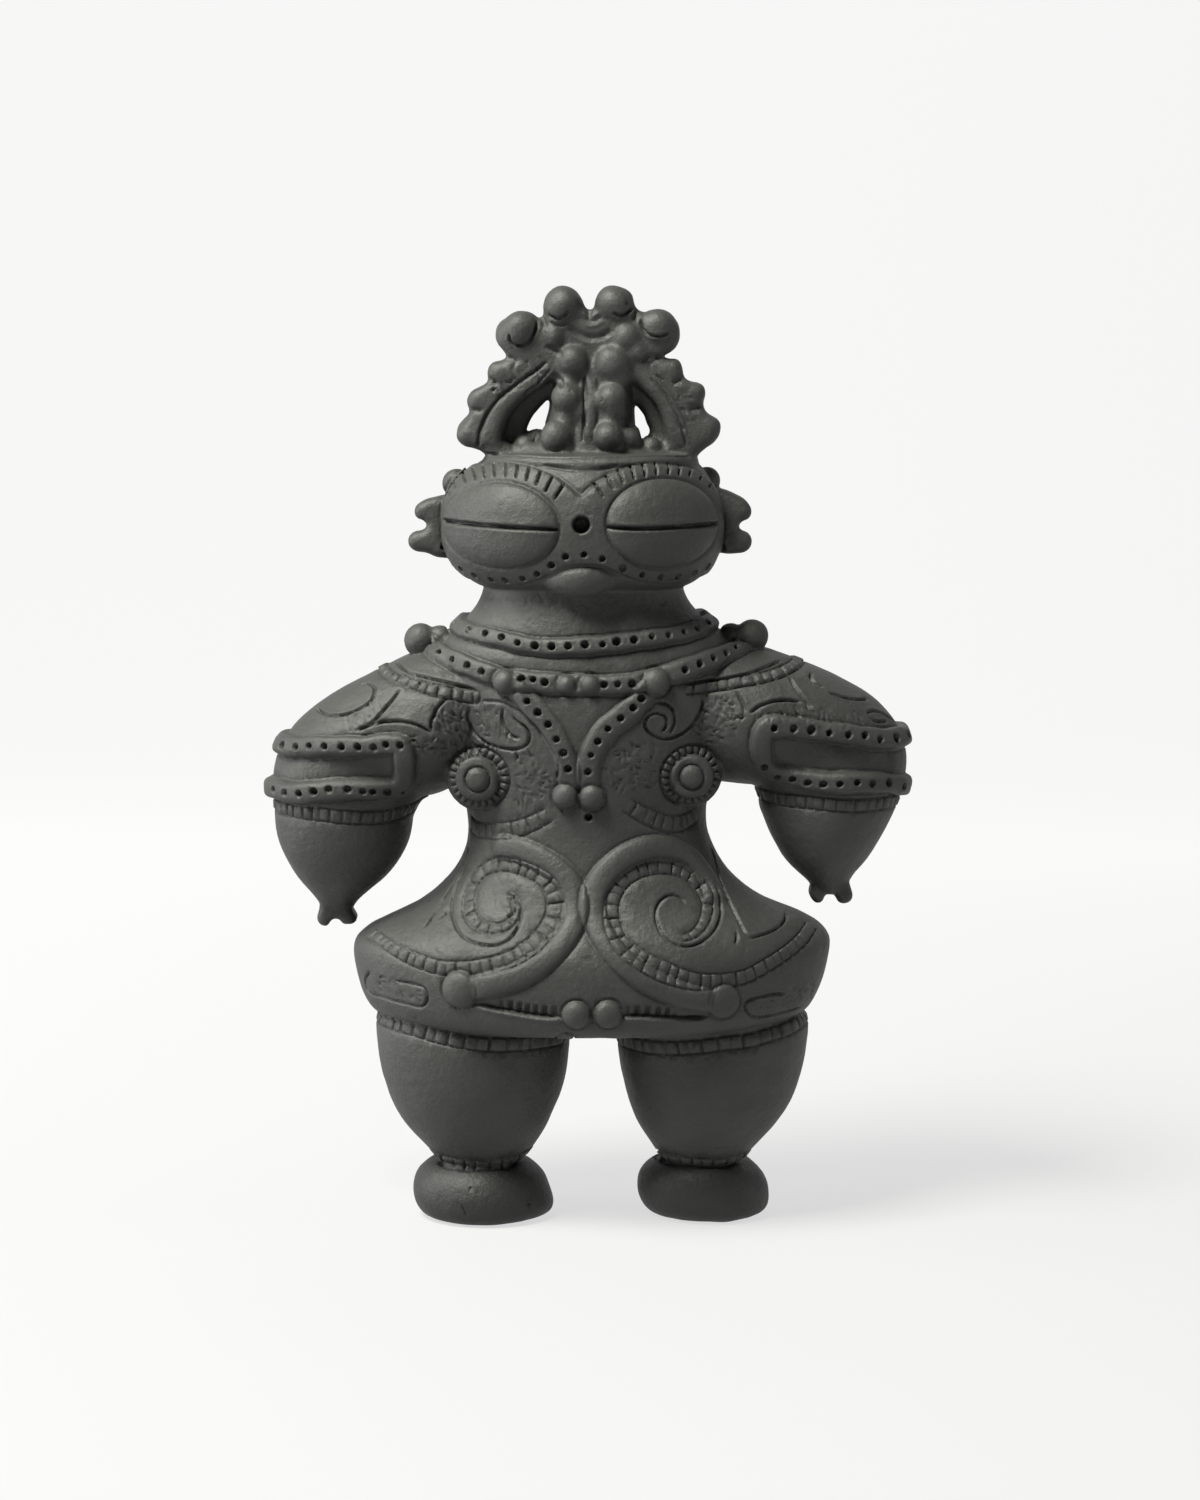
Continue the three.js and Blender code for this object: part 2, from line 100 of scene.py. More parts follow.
def finish_form(name, *modifiers):
    """Applies the modifiers and puts the form's place into its mesh."""
    form = bpy.context.object
    form.name = name
    form.data.name = name
    for kind, values in modifiers:
        modifier = form.modifiers.new(kind.lower(), kind)
        for key, value in values.items():
            setattr(modifier, key, value)
        bpy.ops.object.modifier_apply(modifier=modifier.name)
    bpy.ops.object.transform_apply(location=True, rotation=True, scale=True)
    return form


def smooth_skin(levels):
    return ("SUBSURF", {"levels": levels, "render_levels": levels})


def tilt_ring(degrees, centre):
    if degrees:
        bpy.ops.transform.rotate(
            value=math.radians(degrees), orient_axis="Y", orient_type="GLOBAL", center_override=centre
        )


def ringed(name, rings, sides=32):
    """A form grown ring by ring: x, y, z of each ring's middle, its half width and depth, and its tilt."""
    begin()
    bpy.ops.mesh.primitive_circle_add(vertices=sides, radius=1, fill_type="NGON")
    bpy.ops.object.mode_set(mode="EDIT")
    bpy.ops.mesh.select_all(action="SELECT")
    swell = 3 / (2 + math.cos(2 * math.pi / sides))
    centre, wide, deep, tilt = Vector((0, 0, 0)), 1.0, 1.0, 0.0
    for number, (x, y, z, new_wide, new_deep, new_tilt) in enumerate(rings):
        if number:
            bpy.ops.mesh.extrude_region_move()
        tilt_ring(-tilt, centre)
        ratio = (new_wide * MM * swell / wide, new_deep * MM * swell / deep, 1)
        bpy.ops.transform.resize(value=ratio, center_override=centre)
        new_centre = place(x, y, z)
        bpy.ops.transform.translate(value=new_centre - centre)
        tilt_ring(new_tilt, new_centre)
        centre, wide, deep, tilt = new_centre, new_wide * MM * swell, new_deep * MM * swell, new_tilt
    bpy.ops.mesh.select_all(action="SELECT")
    bpy.ops.mesh.normals_make_consistent(inside=False)
    bpy.ops.object.mode_set(mode="OBJECT")
    return finish_form(name, smooth_skin(2))


def upright(name, rows, sides=32):
    """Rows of z, x, half width, half depth in front and half depth behind."""
    return ringed(
        name,
        [(x, (back - front) / 2, z, wide, (front + back) / 2, 0) for z, x, wide, front, back in rows],
        sides,
    )


def ball(name, centre, radius, flat=(1, 1, 1)):
    begin()
    bpy.ops.mesh.primitive_uv_sphere_add(segments=24, ring_count=14, radius=radius * MM, location=centre)
    bpy.context.object.scale = flat
    return finish_form(name)


def disc(name, x, z, radius, thick, edge=2.5, y=0.0):
    """A thick round of clay with rolled edges, flat to the front."""
    begin()
    bpy.ops.mesh.primitive_cylinder_add(
        vertices=28, radius=radius * MM, depth=thick * MM, location=place(x, y, z),
        rotation=(math.pi / 2, 0, 0),
    )
    rolled = ("BEVEL", {"width": edge * MM, "segments": 3, "limit_method": "ANGLE"})
    return finish_form(name, rolled)


def slab(name, outline, holes, middle, half_thick, rounding):
    """A flat piece with rounded edges, drawn in pixels on the upright plane y = middle."""
    begin()
    drawing = bpy.data.curves.new(name, "CURVE")
    drawing.dimensions = "2D"
    drawing.fill_mode = "BOTH"
    drawing.extrude = (half_thick - rounding) * MM
    drawing.bevel_depth = rounding * MM
    drawing.bevel_resolution = 3
    drawing.offset = -rounding * MM
    for loop in [outline, *holes]:
        spline = drawing.splines.new("BEZIER")
        spline.bezier_points.add(len(loop) - 1)
        spline.use_cyclic_u = True
        spline.resolution_u = 5
        for point, pixel in zip(spline.bezier_points, loop):
            corner = on_plane(pixel, middle)
            point.co = (corner.x, corner.z, 0)
            point.handle_left_type = "AUTO"
            point.handle_right_type = "AUTO"
    piece = bpy.data.objects.new(name, drawing)
    bpy.context.scene.collection.objects.link(piece)
    bpy.context.view_layer.objects.active = piece
    piece.select_set(True)
    bpy.ops.object.convert(target="MESH")
    piece = bpy.context.object
    piece.rotation_euler = (math.pi / 2, 0, 0)
    piece.location.y = (middle + DRAWING_Y) * MM
    bpy.ops.object.mode_set(mode="EDIT")
    bpy.ops.mesh.select_all(action="SELECT")
    bpy.ops.mesh.remove_doubles(threshold=1e-5)
    bpy.ops.mesh.normals_make_consistent(inside=False)
    bpy.ops.object.mode_set(mode="OBJECT")
    return finish_form(name)


TORSO = [
    (73.8, 1.2, 60, 34, 28),
    (74.4, 1.2, 71.5, 42.5, 37),
    (76.4, 1, 77.5, 47, 42),
    (79.5, 0.8, 81, 49, 44.4),
    (84, 0.7, 83.6, 50.2, 45.6),
    (90, 1, 85.8, 50.8, 46.8),
    (97, 1, 87.4, 51, 47.5),
    (102.5, 1.5, 88.3, 50.5, 47.3),
    (107, 2.1, 86.6, 48.8, 46),
    (112, 3.9, 79.4, 46, 43),
    (117, 2.9, 66.4, 42.8, 39.5),
    (122, 1.8, 58.3, 40.5, 37),
    (128, 1.5, 51.6, 38.7, 35),
    (136, 0.8, 46, 36.3, 32.8),
    (146, -0.1, 43.3, 35.3, 31.6),
    (156, -1, 43.8, 35.8, 31.5),
    (166, 0, 47.5, 37.3, 32.5),
    (178, 0, 52, 38.3, 33.2),
    (190, 0, 56.5, 38, 33.2),
    (200, 0, 59.5, 37, 33),
    (208, 0, 60, 35.3, 32.5),
    (215, -0.2, 53.5, 33.8, 32),
    (222, -1.1, 43.8, 31.8, 30.8),
    (229, -1.8, 37, 30.2, 29.7),
    (238, -1.8, 35.4, 29.8, 29.3),
    (243, -1.6, 37.5, 30, 29),
]
HEAD = [
    (232, -1.5, 26, 20, 20),
    (233, -1.5, 34, 27, 26),
    (236, -1.6, 41.2, 33.8, 31),
    (241, -1.7, 46.2, 37.5, 33.5),
    (247, -2, 49.2, 39.4, 35.2),
    (254, -2, 50.6, 39.8, 36),
    (261, -2, 50.6, 39.6, 36),
    (268, -1.8, 48.6, 38.6, 34.8),
    (274, -1.2, 45, 36.6, 32),
    (278.5, 0, 40.5, 33.2, 28.5),
    (281.5, 0.5, 36, 28, 25),
    (282, 0.5, 28, 21, 20),
]
CAP = [
    (275, 1, 32, 26, 24),
    (276, 1, 37.5, 31, 28),
    (278.5, 1, 39.2, 33.6, 29),
    (281, 1, 39, 33, 28.5),
    (282.5, 1, 36.5, 29.5, 26.5),
    (283, 1, 30, 22, 21),
]
LEG_LEFT = [
    (19, -40, 15, 15, 15),
    (23.5, -40, 17.4, 17.6, 17.6),
    (28, -40.4, 21.4, 21.2, 20.6),
    (34, -41.1, 26, 25, 24),
    (41, -41.8, 29.9, 28.6, 27.6),
    (49, -42.1, 32.9, 31.6, 30.6),
    (58, -42.3, 35, 33.6, 32.6),
    (68, -42.5, 36, 34.4, 33.4),
    (84, -42.7, 36.4, 34.8, 33.6),
]
LEG_RIGHT = [
    (19, 42.6, 15, 15, 15),
    (23.5, 42.6, 16.6, 17, 17),
    (28, 43, 20.4, 20.4, 20),
    (34, 43.9, 25.3, 24.4, 23.4),
    (41, 44.8, 29.3, 28, 27),
    (49, 45.5, 32.3, 30.8, 29.8),
    (58, 45.9, 34.4, 32.6, 31.7),
    (68, 46.1, 35.5, 33.6, 32.7),
    (84, 46.2, 35.9, 34, 33.2),
]
FOOT_LEFT = [
    (0, -38.4, 12, 12, 12),
    (0, -38.4, 21.8, 20.5, 19.5),
    (2.5, -38.2, 25.2, 24.4, 22.9),
    (7, -39.3, 25.9, 25.2, 24.2),
    (11.5, -40.2, 25.3, 24.6, 24),
    (16, -40.6, 23.8, 22.8, 22.4),
    (19.6, -41, 19.8, 19.6, 19.2),
    (22, -40.4, 16, 16.4, 16),
]
FOOT_RIGHT = [
    (0, 44, 12, 11, 12),
    (0, 44, 19.5, 15.6, 18),
    (2.5, 44, 23, 19.2, 21.5),
    (7, 43, 24.4, 21.4, 23.2),
    (11.5, 42.6, 24.5, 21.8, 23),
    (16, 41.8, 23.1, 20.8, 21.6),
    (19.6, 41.4, 19.4, 18.8, 18.8),
    (22, 42.2, 15.6, 16, 16),
]
# An arm's rows are the outer point's x and z, the inner point's x and z, and half the depth.
ARM_LEFT = [
    (-20, 218, -30, 166, 20),
    (-38, 217.6, -42, 163, 26),
    (-52, 214.6, -49, 161, 29.4),
    (-64.5, 209.6, -53.6, 158.6, 30.5),
    (-75.8, 204, -57.2, 157.6, 29.4),
    (-87, 198.4, -59.4, 156.8, 28.4),
    (-96.8, 192.6, -60.8, 155.8, 27.4),
    (-105, 186.4, -61.6, 154.6, 26.6),
    (-110.9, 179.4, -62.2, 153.2, 26),
    (-114.2, 172.2, -63, 151.8, 25.6),
    (-115.6, 164, -63.8, 150.4, 25.3),
    (-115.4, 156, -64.4, 149.2, 24.8),
    (-114.9, 147, -64.7, 145.8, 24),
    (-113.6, 140, -66, 140, 22.6),
    (-111, 133.5, -69, 133.5, 20),
    (-107.5, 127.5, -73.8, 127.5, 16.6),
    (-103.6, 123, -79.2, 123, 12.6),
    (-100.6, 119.5, -83.8, 119.5, 9),
    (-98.6, 116.5, -86.2, 116.5, 6.4),
    (-97.6, 114, -87, 114, 5),
]
ARM_RIGHT = [
    (20, 218, 30, 166, 20),
    (38, 218, 42, 164, 26),
    (54, 214.6, 47, 162.4, 29.4),
    (67.5, 210.8, 52, 162, 30.5),
    (79.8, 206.4, 56.2, 161.6, 29.4),
    (91, 201.6, 58.6, 161.2, 28.4),
    (100.5, 196.2, 60.4, 161.2, 27.4),
    (108.3, 190, 61.2, 159.8, 26.6),
    (113.6, 183, 61.8, 158, 26),
    (116.6, 175.5, 62.2, 156.5, 25.6),
    (117.2, 167.5, 62.4, 154.5, 25.3),
    (115, 159, 62.7, 152.4, 24.8),
    (112.6, 151.5, 63.6, 150.6, 24),
    (109, 144.5, 65.9, 144.5, 22.3),
    (105.4, 138, 69.2, 138, 19.5),
    (101.4, 132.5, 73.3, 132.5, 16),
    (97.8, 128.5, 78, 128.5, 11.8),
    (95.6, 125, 81.6, 125, 8.4),
    (94.4, 122.5, 83, 122.5, 6.4),
    (93.6, 120.5, 84, 120.5, 5),
]


def arm(name, rows):
    rings = []
    for outer_x, outer_z, inner_x, inner_z, deep in rows:
        across, up = outer_x - inner_x, outer_z - inner_z
        tilt = math.degrees(math.atan2(up, across))
        middle = ((outer_x + inner_x) / 2, 0, (outer_z + inner_z) / 2)
        rings.append((*middle, math.hypot(across, up) / 2, deep, tilt))
    return ringed(name, rings, 28)


# The two-pronged tips of the hands.
HAND_TIPS = [
    [
        (324, 897), (320.5, 903), (320.2, 907.3), (318.4, 913), (317.9, 918), (319.9, 922.1), (324, 924.6),
        (328.6, 924.2), (330.8, 921.1), (333.2, 918.3), (336.5, 917.3), (340.3, 918.6), (343.5, 922.2),
        (348.5, 923), (353.5, 922.3), (356.8, 919.6), (357.6, 916), (355.1, 911.4), (352.6, 906.3),
        (352.6, 901), (349, 897),
    ],
    [
        (815, 876), (812.1, 880.8), (810.1, 886.2), (809.5, 893.7), (811.8, 897.9), (816.6, 901.2),
        (821, 900), (823.9, 894.3), (826.7, 891.1), (829.3, 890.5), (832.5, 891.7), (835.9, 896.3),
        (838.8, 900.6), (843.9, 901.7), (849.7, 899.4), (851.9, 894.5), (850.3, 888.1), (848.2, 882),
        (846, 876),
    ],
]
HAND_HALF_THICK = 5.5

torso = upright("torso", TORSO)
head = upright("head", HEAD)
cap = upright("cap", CAP)
arm_left = arm("arm_left", ARM_LEFT)
arm_right = arm("arm_right", ARM_RIGHT)
body_forms = [torso, head, cap, arm_left, arm_right]
body_forms += [upright("leg_left", LEG_LEFT), upright("leg_right", LEG_RIGHT)]
body_forms += [upright("foot_left", FOOT_LEFT), upright("foot_right", FOOT_RIGHT)]
body_forms += [slab("hand_tip", tip, [], 0, HAND_HALF_THICK, 2.4) for tip in HAND_TIPS]

# Low mounds that carry the breast discs: x, z.
BREAST_MOUNDS = [(-38.4, 166.8), (35.6, 167.8)]
MOUND_RADIUS = 13
MOUND_FLAT = (1, 0.66, 1)
body_forms += [ball("mound", place(x, -20.5, z), MOUND_RADIUS, MOUND_FLAT) for x, z in BREAST_MOUNDS]

# The crown: a thick scalloped arch with two windows that narrow to the middle, and a post of two columns.
CROWN_OUTLINE = [
    (493, 470), (490, 461), (484, 452), (474, 447.5), (465.3, 445.3), (457.5, 437), (458.4, 428.1),
    (464.5, 420), (470.5, 410.5), (467.6, 401), (471.4, 391.8), (480.8, 386.8), (488.5, 381),
    (488, 371.3), (492, 363.2), (501.5, 361.2), (507, 357), (504, 351), (497.6, 344), (496, 333.6),
    (498.8, 325), (508.4, 316.8), (522.2, 314.4), (534, 318.2), (543.7, 316.9), (544.5, 305.8),
    (550.6, 293.8), (561.8, 287.9), (573.8, 289.7), (581.6, 298.1), (585.4, 306.2), (589.3, 309.2),
    (594.6, 306.8), (597.9, 297.2), (604.8, 288.8), (613.4, 286.2), (623.8, 288.8), (631.5, 295.5),
    (634.6, 305.8), (641, 312.5), (653, 312.7), (666.8, 314.6), (677.1, 323), (680.4, 335.1),
    (677.1, 345.4), (669, 352), (662.5, 356.2), (668, 359.2), (677, 359.8), (680.6, 366.1),
    (682.9, 376.6), (690.9, 381.6), (700.8, 383.8), (704.6, 392.4), (703, 405), (708.1, 413.5),
    (716.7, 418.4), (719.5, 429.8), (714.6, 440.1), (703, 448.8), (696, 456), (692, 463), (690, 470),
]
WINDOWS_OUTSIDE = [
    [(508, 440), (507, 425), (514, 410), (526, 398), (540, 388), (556, 382), (562, 400), (558, 440)],
    [(628, 384), (641, 389), (650, 398), (658, 412), (662, 428), (662, 439), (620, 440), (618, 400)],
]
WINDOWS_INSIDE = [
    [(527, 434), (529, 424), (535, 413), (544, 403), (556, 395), (563, 400), (560, 434)],
    [(630, 401), (636, 404), (642, 411), (646, 421), (649, 434), (622, 435), (622, 406)],
]
CROWN_HALF_THICK = 12.5
CROWN_CORE_HALF = 7
POST_LEFT = [
    (279, -8.6, 9.5, 21, 21), (284, -8.4, 8.2, 20, 20), (292, -8, 6.9, 18.5, 18.5),
    (302, -7.4, 6.5, 17, 17), (312, -6, 6.4, 14.5, 14.5), (321, -4.8, 6.4, 12, 12), (326, -4, 6, 9, 9),
]
POST_RIGHT = [
    (279, 9.2, 10.5, 21, 21), (284, 8.8, 9.4, 20, 20), (292, 8.2, 8.7, 18.5, 18.5),
    (302, 7.9, 8.6, 17, 17), (312, 8.4, 8.6, 14.5, 14.5), (321, 9.4, 8, 12, 12), (326, 9.6, 7, 9, 9),
]
POST_CORE = [
    (279, 0.6, 17, 20, 19), (284, 0.5, 15.5, 19, 18), (292, 0.3, 13.5, 17.5, 16.5), (303, 0.6, 12.5, 16, 15),
    (313, 1.6, 11.5, 13.6, 13), (321, 2.4, 10, 11.4, 11), (326, 2.8, 8, 9, 9),
]
CROWN_FOOT = [
    (277, 1, 38, 24, 23), (281, 1, 37, 21, 20), (284.5, 1, 35, 18.5, 17.5), (286.5, 1, 31, 15, 14),
    (287, 1, 26, 11, 11),
]

crown_forms = [
    slab("crown_plate", CROWN_OUTLINE, WINDOWS_OUTSIDE, 0, CROWN_HALF_THICK, 4),
    slab("crown_core", CROWN_OUTLINE, WINDOWS_INSIDE, 0, CROWN_CORE_HALF, 3),
    upright("post_left", POST_LEFT, 20),
    upright("post_right", POST_RIGHT, 20),
    upright("post_core", POST_CORE, 20),
    upright("crown_foot", CROWN_FOOT),
]

# Ears, two-pronged like a fish's tail, and the lobes behind the goggles: x, y, z, radius.
EARS = [
    [
        (450, 497), (434, 497.5), (422.9, 500.9), (416, 507.5), (417, 516.3), (425.1, 520.5), (427.3, 524.7),
        (422.9, 530), (412.8, 532.8), (409.3, 540.4), (413.7, 548.4), (427.3, 552), (440, 557), (454, 554),
    ],
    [
        (714, 488), (722, 489), (735.4, 494.3), (746.5, 501), (751.2, 509.7), (748.4, 518), (741.6, 521.4),
        (738.5, 525.8), (741.6, 530.1), (748.6, 533.9), (751.2, 541.5), (746.5, 549.5), (735.4, 552.2),
        (722, 552), (712, 548),
    ],
]
EAR_MIDDLE = 2
EAR_HALF_THICK = 7
TEMPLE_LOBES = [(-48, 4, 271.2, 5.3), (43.2, 4, 272.2, 5)]
ear_forms = [slab("ear", outline, [], EAR_MIDDLE, EAR_HALF_THICK, 3) for outline in EARS]
ear_forms += [ball("temple_lobe", place(x, y, z), radius) for x, y, z, radius in TEMPLE_LOBES]


# Balls of clay, found on the forms behind their pixels

def first_hit(forms, start, way):
    """Where a line first meets one of the forms: the point and the way the surface faces."""
    found = None
    for form in forms:
        hit, point, facing, _ = form.ray_cast(start, way)
        if hit and (found is None or (point - start).length < (found[0] - start).length):
            found = (point, facing)
    return found


def seen(pixel, forms):
    return first_hit(forms, CAMERA, sight(pixel))


# Balls on the crown: the pixel, the radius and how far the middle stands out.
CROWN_BALLS = [
    ((573.5, 360), 5.9, -1.7), ((613, 362), 7.2, -2.8), ((623, 374), 5.4, -2.6),
    ((568, 397), 5.9, -2.6), ((577, 410), 4.8, -2.6), ((612, 398.5), 6, -2.4), ((619, 409), 5, -2.6),
    ((554, 437), 6.1, -1), ((537, 440.5), 5, -0.8), ((524, 442.5), 4, -1.2),
    ((608, 436), 5.4, -1.2), ((630, 438.5), 5.2, -0.8), ((652, 443.5), 3.8, -1),
    ((554, 336), 4.8, -2.4), ((627, 338), 5.6, -2.4), ((637, 351), 4.8, -2.4),
    ((520.5, 331), 7.4, -4.6), ((658, 329), 7.2, -4.8),
    ((563, 306), 7.2, -4.2), ((613, 305.5), 7, -4.2),
]
SHOULDER_BALLS = [((421, 640), 6.1), ((751.5, 636), 6.2)]
BAND_ENDS = [((440, 639), 5.2), ((731, 636), 5)]
ball_forms = []
crown_seat = [*crown_forms, cap, head]
for pixel, radius, proud in CROWN_BALLS:
    front = seen(pixel, crown_seat)
    back = first_hit(crown_seat, Vector((front[0].x, 1, front[0].z)), Vector((0, -1, 0)))
    for point, facing in (front, back):
        ball_forms.append(ball("crown_ball", point + facing * proud * MM, radius))
for pixel, radius in SHOULDER_BALLS + BAND_ENDS:
    ball_forms.append(ball("shoulder_ball", on_plane(pixel, -4), radius))


# One skin over all the forms

def pressed_together(forms):
    begin()
    for form in forms:
        form.select_set(True)
    bpy.context.view_layer.objects.active = forms[0]
    bpy.ops.object.join()
    skin = ("REMESH", {"mode": "VOXEL", "voxel_size": SKIN_GRAIN * MM})
    softened = ("SMOOTH", {"factor": 0.5, "iterations": SKIN_SOFTENING})
    piece = finish_form("dogu_clay", skin, softened)
    crown = piece.vertex_groups.new(name="crown")
    crown.add([v.index for v in piece.data.vertices if v.co.z > CROWN_FROM * MM], 1, "REPLACE")
    blended = ("SMOOTH", {"factor": 0.5, "iterations": CROWN_SOFTENING, "vertex_group": "crown"})
    return finish_form("dogu_clay", blended)


clay_piece = pressed_together([*body_forms, *crown_forms, *ear_forms, *ball_forms])


# Carving

CELL = 5 * MM
CELL_SPAN = 1024
NEIGHBOURS = np.array([(x, y, z) for x in (-1, 0, 1) for y in (-1, 0, 1) for z in (-1, 0, 1)])
random = np.random.default_rng(SEED)


def ease(value, low, high):
    """0 below low, 1 above high, and a smooth rise between."""
    t = np.clip((value - low) / (high - low), 0, 1)
    return t * t * (3 - 2 * t)


def plateau(distance, half, edge):
    """1 within half a width, falling to 0 round its edge."""
    return 1 - ease(distance, half - edge, half + edge)


def ridge(distance, wide):
    return np.exp(-((distance / wide) ** 2))


class Skin:
    """The skin's points, the way each faces, and how far each is to be raised, in millimetres."""

    def __init__(self, piece):
        mesh = piece.data
        count = len(mesh.vertices)
        self.piece = piece
        self.at = np.empty(count * 3, np.float32)
        mesh.vertices.foreach_get("co", self.at)
        self.at = self.at.reshape(-1, 3).astype(float)
        self.facing = np.empty(count * 3, np.float32)
        mesh.vertex_normals.foreach_get("vector", self.facing)
        self.facing = self.facing.reshape(-1, 3).astype(float)
        self.lift = np.zeros(count)
        codes = self.code(np.floor(self.at / CELL).astype(int))
        self.order = np.argsort(codes)
        self.codes = codes[self.order]

    @staticmethod
    def code(cells):
        moved = cells + CELL_SPAN // 2
        return moved[:, 0] + CELL_SPAN * (moved[:, 1] + CELL_SPAN * moved[:, 2])

    def around(self, points):
        """The numbers of the skin's points near some points."""
        cells = np.unique(np.floor(points / CELL).astype(int), axis=0)
        wanted = np.unique(self.code((cells[:, None] + NEIGHBOURS).reshape(-1, 3)))
        first = np.searchsorted(self.codes, wanted)
        last = np.searchsorted(self.codes, wanted, side="right")
        return np.concatenate([self.order[a:b] for a, b in zip(first, last)])

    def hit(self, start, way):
        found, point, facing, _ = self.piece.ray_cast(start, way)
        return (np.array(point), np.array(facing)) if found else None


skin = Skin(clay_piece)
to_camera = np.array(CAMERA) - skin.at
depth = -to_camera @ np.array(SIGHT_AHEAD)
pixel_x = PHOTO_WIDE / 2 + FOCAL_PIXELS * (-to_camera @ np.array(SIGHT_RIGHT)) / depth
pixel_y = PHOTO_TALL / 2 - FOCAL_PIXELS * (-to_camera @ np.array(SIGHT_UP)) / depth
in_front = skin.facing[:, 1] < 0.1
to_front = ease(-skin.facing[:, 1], -0.1, 0.25)
PIXELS_PER_MM = FOCAL_PIXELS / 1211

LINE_STEP = 0.6  # distance between the points of a laid line


def curve_through(points, closed=False):
    """A smooth curve through points, in short equal steps, by the Catmull-Rom rule."""
    points = [np.array(p, float) for p in points]
    ends = [points[-1], *points, points[0], points[1]] if closed else [points[0], *points, points[-1]]
    fine = []
    for a, b, c, d in zip(ends, ends[1:], ends[2:], ends[3:]):
        for t in np.linspace(0, 1, 12, endpoint=False):
            fine.append(
                0.5 * (2 * b + (c - a) * t + (2 * a - 5 * b + 4 * c - d) * t**2 + (3 * b - a - 3 * c + d) * t**3)
            )
    fine.append(fine[0] if closed else points[-1])
    fine = np.array(fine)
    run = np.concatenate([[0], np.cumsum(np.linalg.norm(np.diff(fine, axis=0), axis=1))])
    steps = max(int(run[-1] / (LINE_STEP * PIXELS_PER_MM)), 2)
    marks = np.linspace(0, run[-1], steps + 1)
    return np.stack([np.interp(marks, run, fine[:, k]) for k in range(fine.shape[1])], axis=1)


def laid(pixels, closed=False):
    """A drawn line laid on the skin: its points and the way the skin faces at each."""
    hits = [skin.hit(CAMERA, sight(pixel)) for pixel in curve_through(pixels, closed)]
    hits = [hit for hit in hits if hit is not None]
    return np.array([hit[0] for hit in hits]), np.array([hit[1] for hit in hits])


def behind(line, raised=0.0):
    """The same line on the back, point for point."""
    hits = []
    for x, _, z in line[0][::-1]:
        hit = skin.hit(Vector((x, 1, z + raised * MM)), Vector((0, -1, 0)))
        if hit is not None:
            hits.append(hit)
    return np.array([hit[0] for hit in hits]), np.array([hit[1] for hit in hits])


def joined(*lines):
    return tuple(np.concatenate([line[k] for line in lines]) for k in (0, 1))


def round_side(start, end, middle):
    """Points on the skin between two ends of a line, found from outside."""
    chord = end - start
    hits = []
    for share in np.linspace(0, 1, 8)[1:-1]:
        point = start + chord * share
        out = point - middle
        out = out - chord * (out @ chord) / (chord @ chord)
        out /= np.linalg.norm(out)
        hit = skin.hit(Vector(point + out * 20 * MM), Vector(-out))
        if hit is not None and np.linalg.norm(hit[0] - point) < 15 * MM and hit[1] @ out > 0.3:
            hits.append(hit)
    return np.array([h[0] for h in hits]).reshape(-1, 3), np.array([h[1] for h in hits]).reshape(-1, 3)


def girdle(line, raised=0.0):
    """A line on the front, carried round the back to where it began."""
    back = behind(line, raised)
    part = len(line[0]) // 3
    far_middle = np.concatenate([line[0][-part:], back[0][:part]]).mean(axis=0)
    near_middle = np.concatenate([line[0][:part], back[0][-part:]]).mean(axis=0)
    far_side = round_side(line[0][-1], back[0][0], far_middle)
    near_side = round_side(back[0][-1], line[0][0], near_middle)
    return joined(line, far_side, back, near_side, (line[0][:1], line[1][:1]))


def measured(line):
    """The skin's points near a line: numbers, distance, way along and side, in millimetres, and its length."""
    points, facings = line
    which = skin.around(points)
    at = skin.at[which]
    nearest = np.full(len(which), np.inf)
    along = np.zeros(len(which))
    side = np.zeros(len(which))
    run = 0.0
    for a, b, facing in zip(points[:-1], points[1:], facings[:-1]):
        step = b - a
        length = np.linalg.norm(step)
        if length < 1e-7:
            continue
        offset = at - a
        share = np.clip(offset @ step / length**2, 0, 1)
        gap = offset - share[:, None] * step
        distance = np.einsum("ij,ij->i", gap, gap)
        closer = distance < nearest
        nearest[closer] = distance[closer]
        along[closer] = run + share[closer] * length
        side[closer] = gap[closer] @ np.cross(facing, step) / length
        run += length
    return which, np.sqrt(nearest) / MM, along / MM, side / MM, run / MM


def tapered(along, length, taper):
    return np.clip(along / taper, 0, 1) * np.clip((length - along) / taper, 0, 1)


def strip(line, half, high, edge=0.7, groove=0.5):
    """A strip of clay with a rounded back, set off by a shallow groove on each side."""
    which, distance, along, _, length = measured(line)
    distance = distance + 0.1 * half * np.sin(along / 5.3) * np.sin(along / 3.1 + 1)
    height = np.clip(1 - (distance / (half + edge)) ** 4, 0, 1) ** 0.6
    skin.lift[which] += high * height * (1 + 0.08 * np.sin(along / 4.1))
    skin.lift[which] -= groove * ridge(distance - half - edge, 0.55)


def roll(line, half, high, groove=0.4, taper=4.0):
    """A round roll of clay, smoothed down to nothing at its ends."""
    which, distance, along, _, length = measured(line)
    height = np.sqrt(np.clip(1 - (distance / (half * 1.15)) ** 2, 0, 1))
    ends = tapered(along, length, taper)
    skin.lift[which] += high * height * ends
    skin.lift[which] -= groove * ridge(distance - half * 1.15, 0.6) * ends


def cut(line, wide=0.75, deep=1.4, burr=0.2, taper=2.5):
    """A line drawn in the clay with a point, which throws up a little clay on each side."""
    which, distance, along, _, length = measured(line)
    ends = tapered(along, length, taper)
    uneven = 1 + 0.2 * np.sin(along / 2.3 + length)
    skin.lift[which] -= deep * (1 - ease(distance, 0, wide)) * ends * uneven
    skin.lift[which] += burr * ridge(distance - wide - 0.35, 0.45) * ends


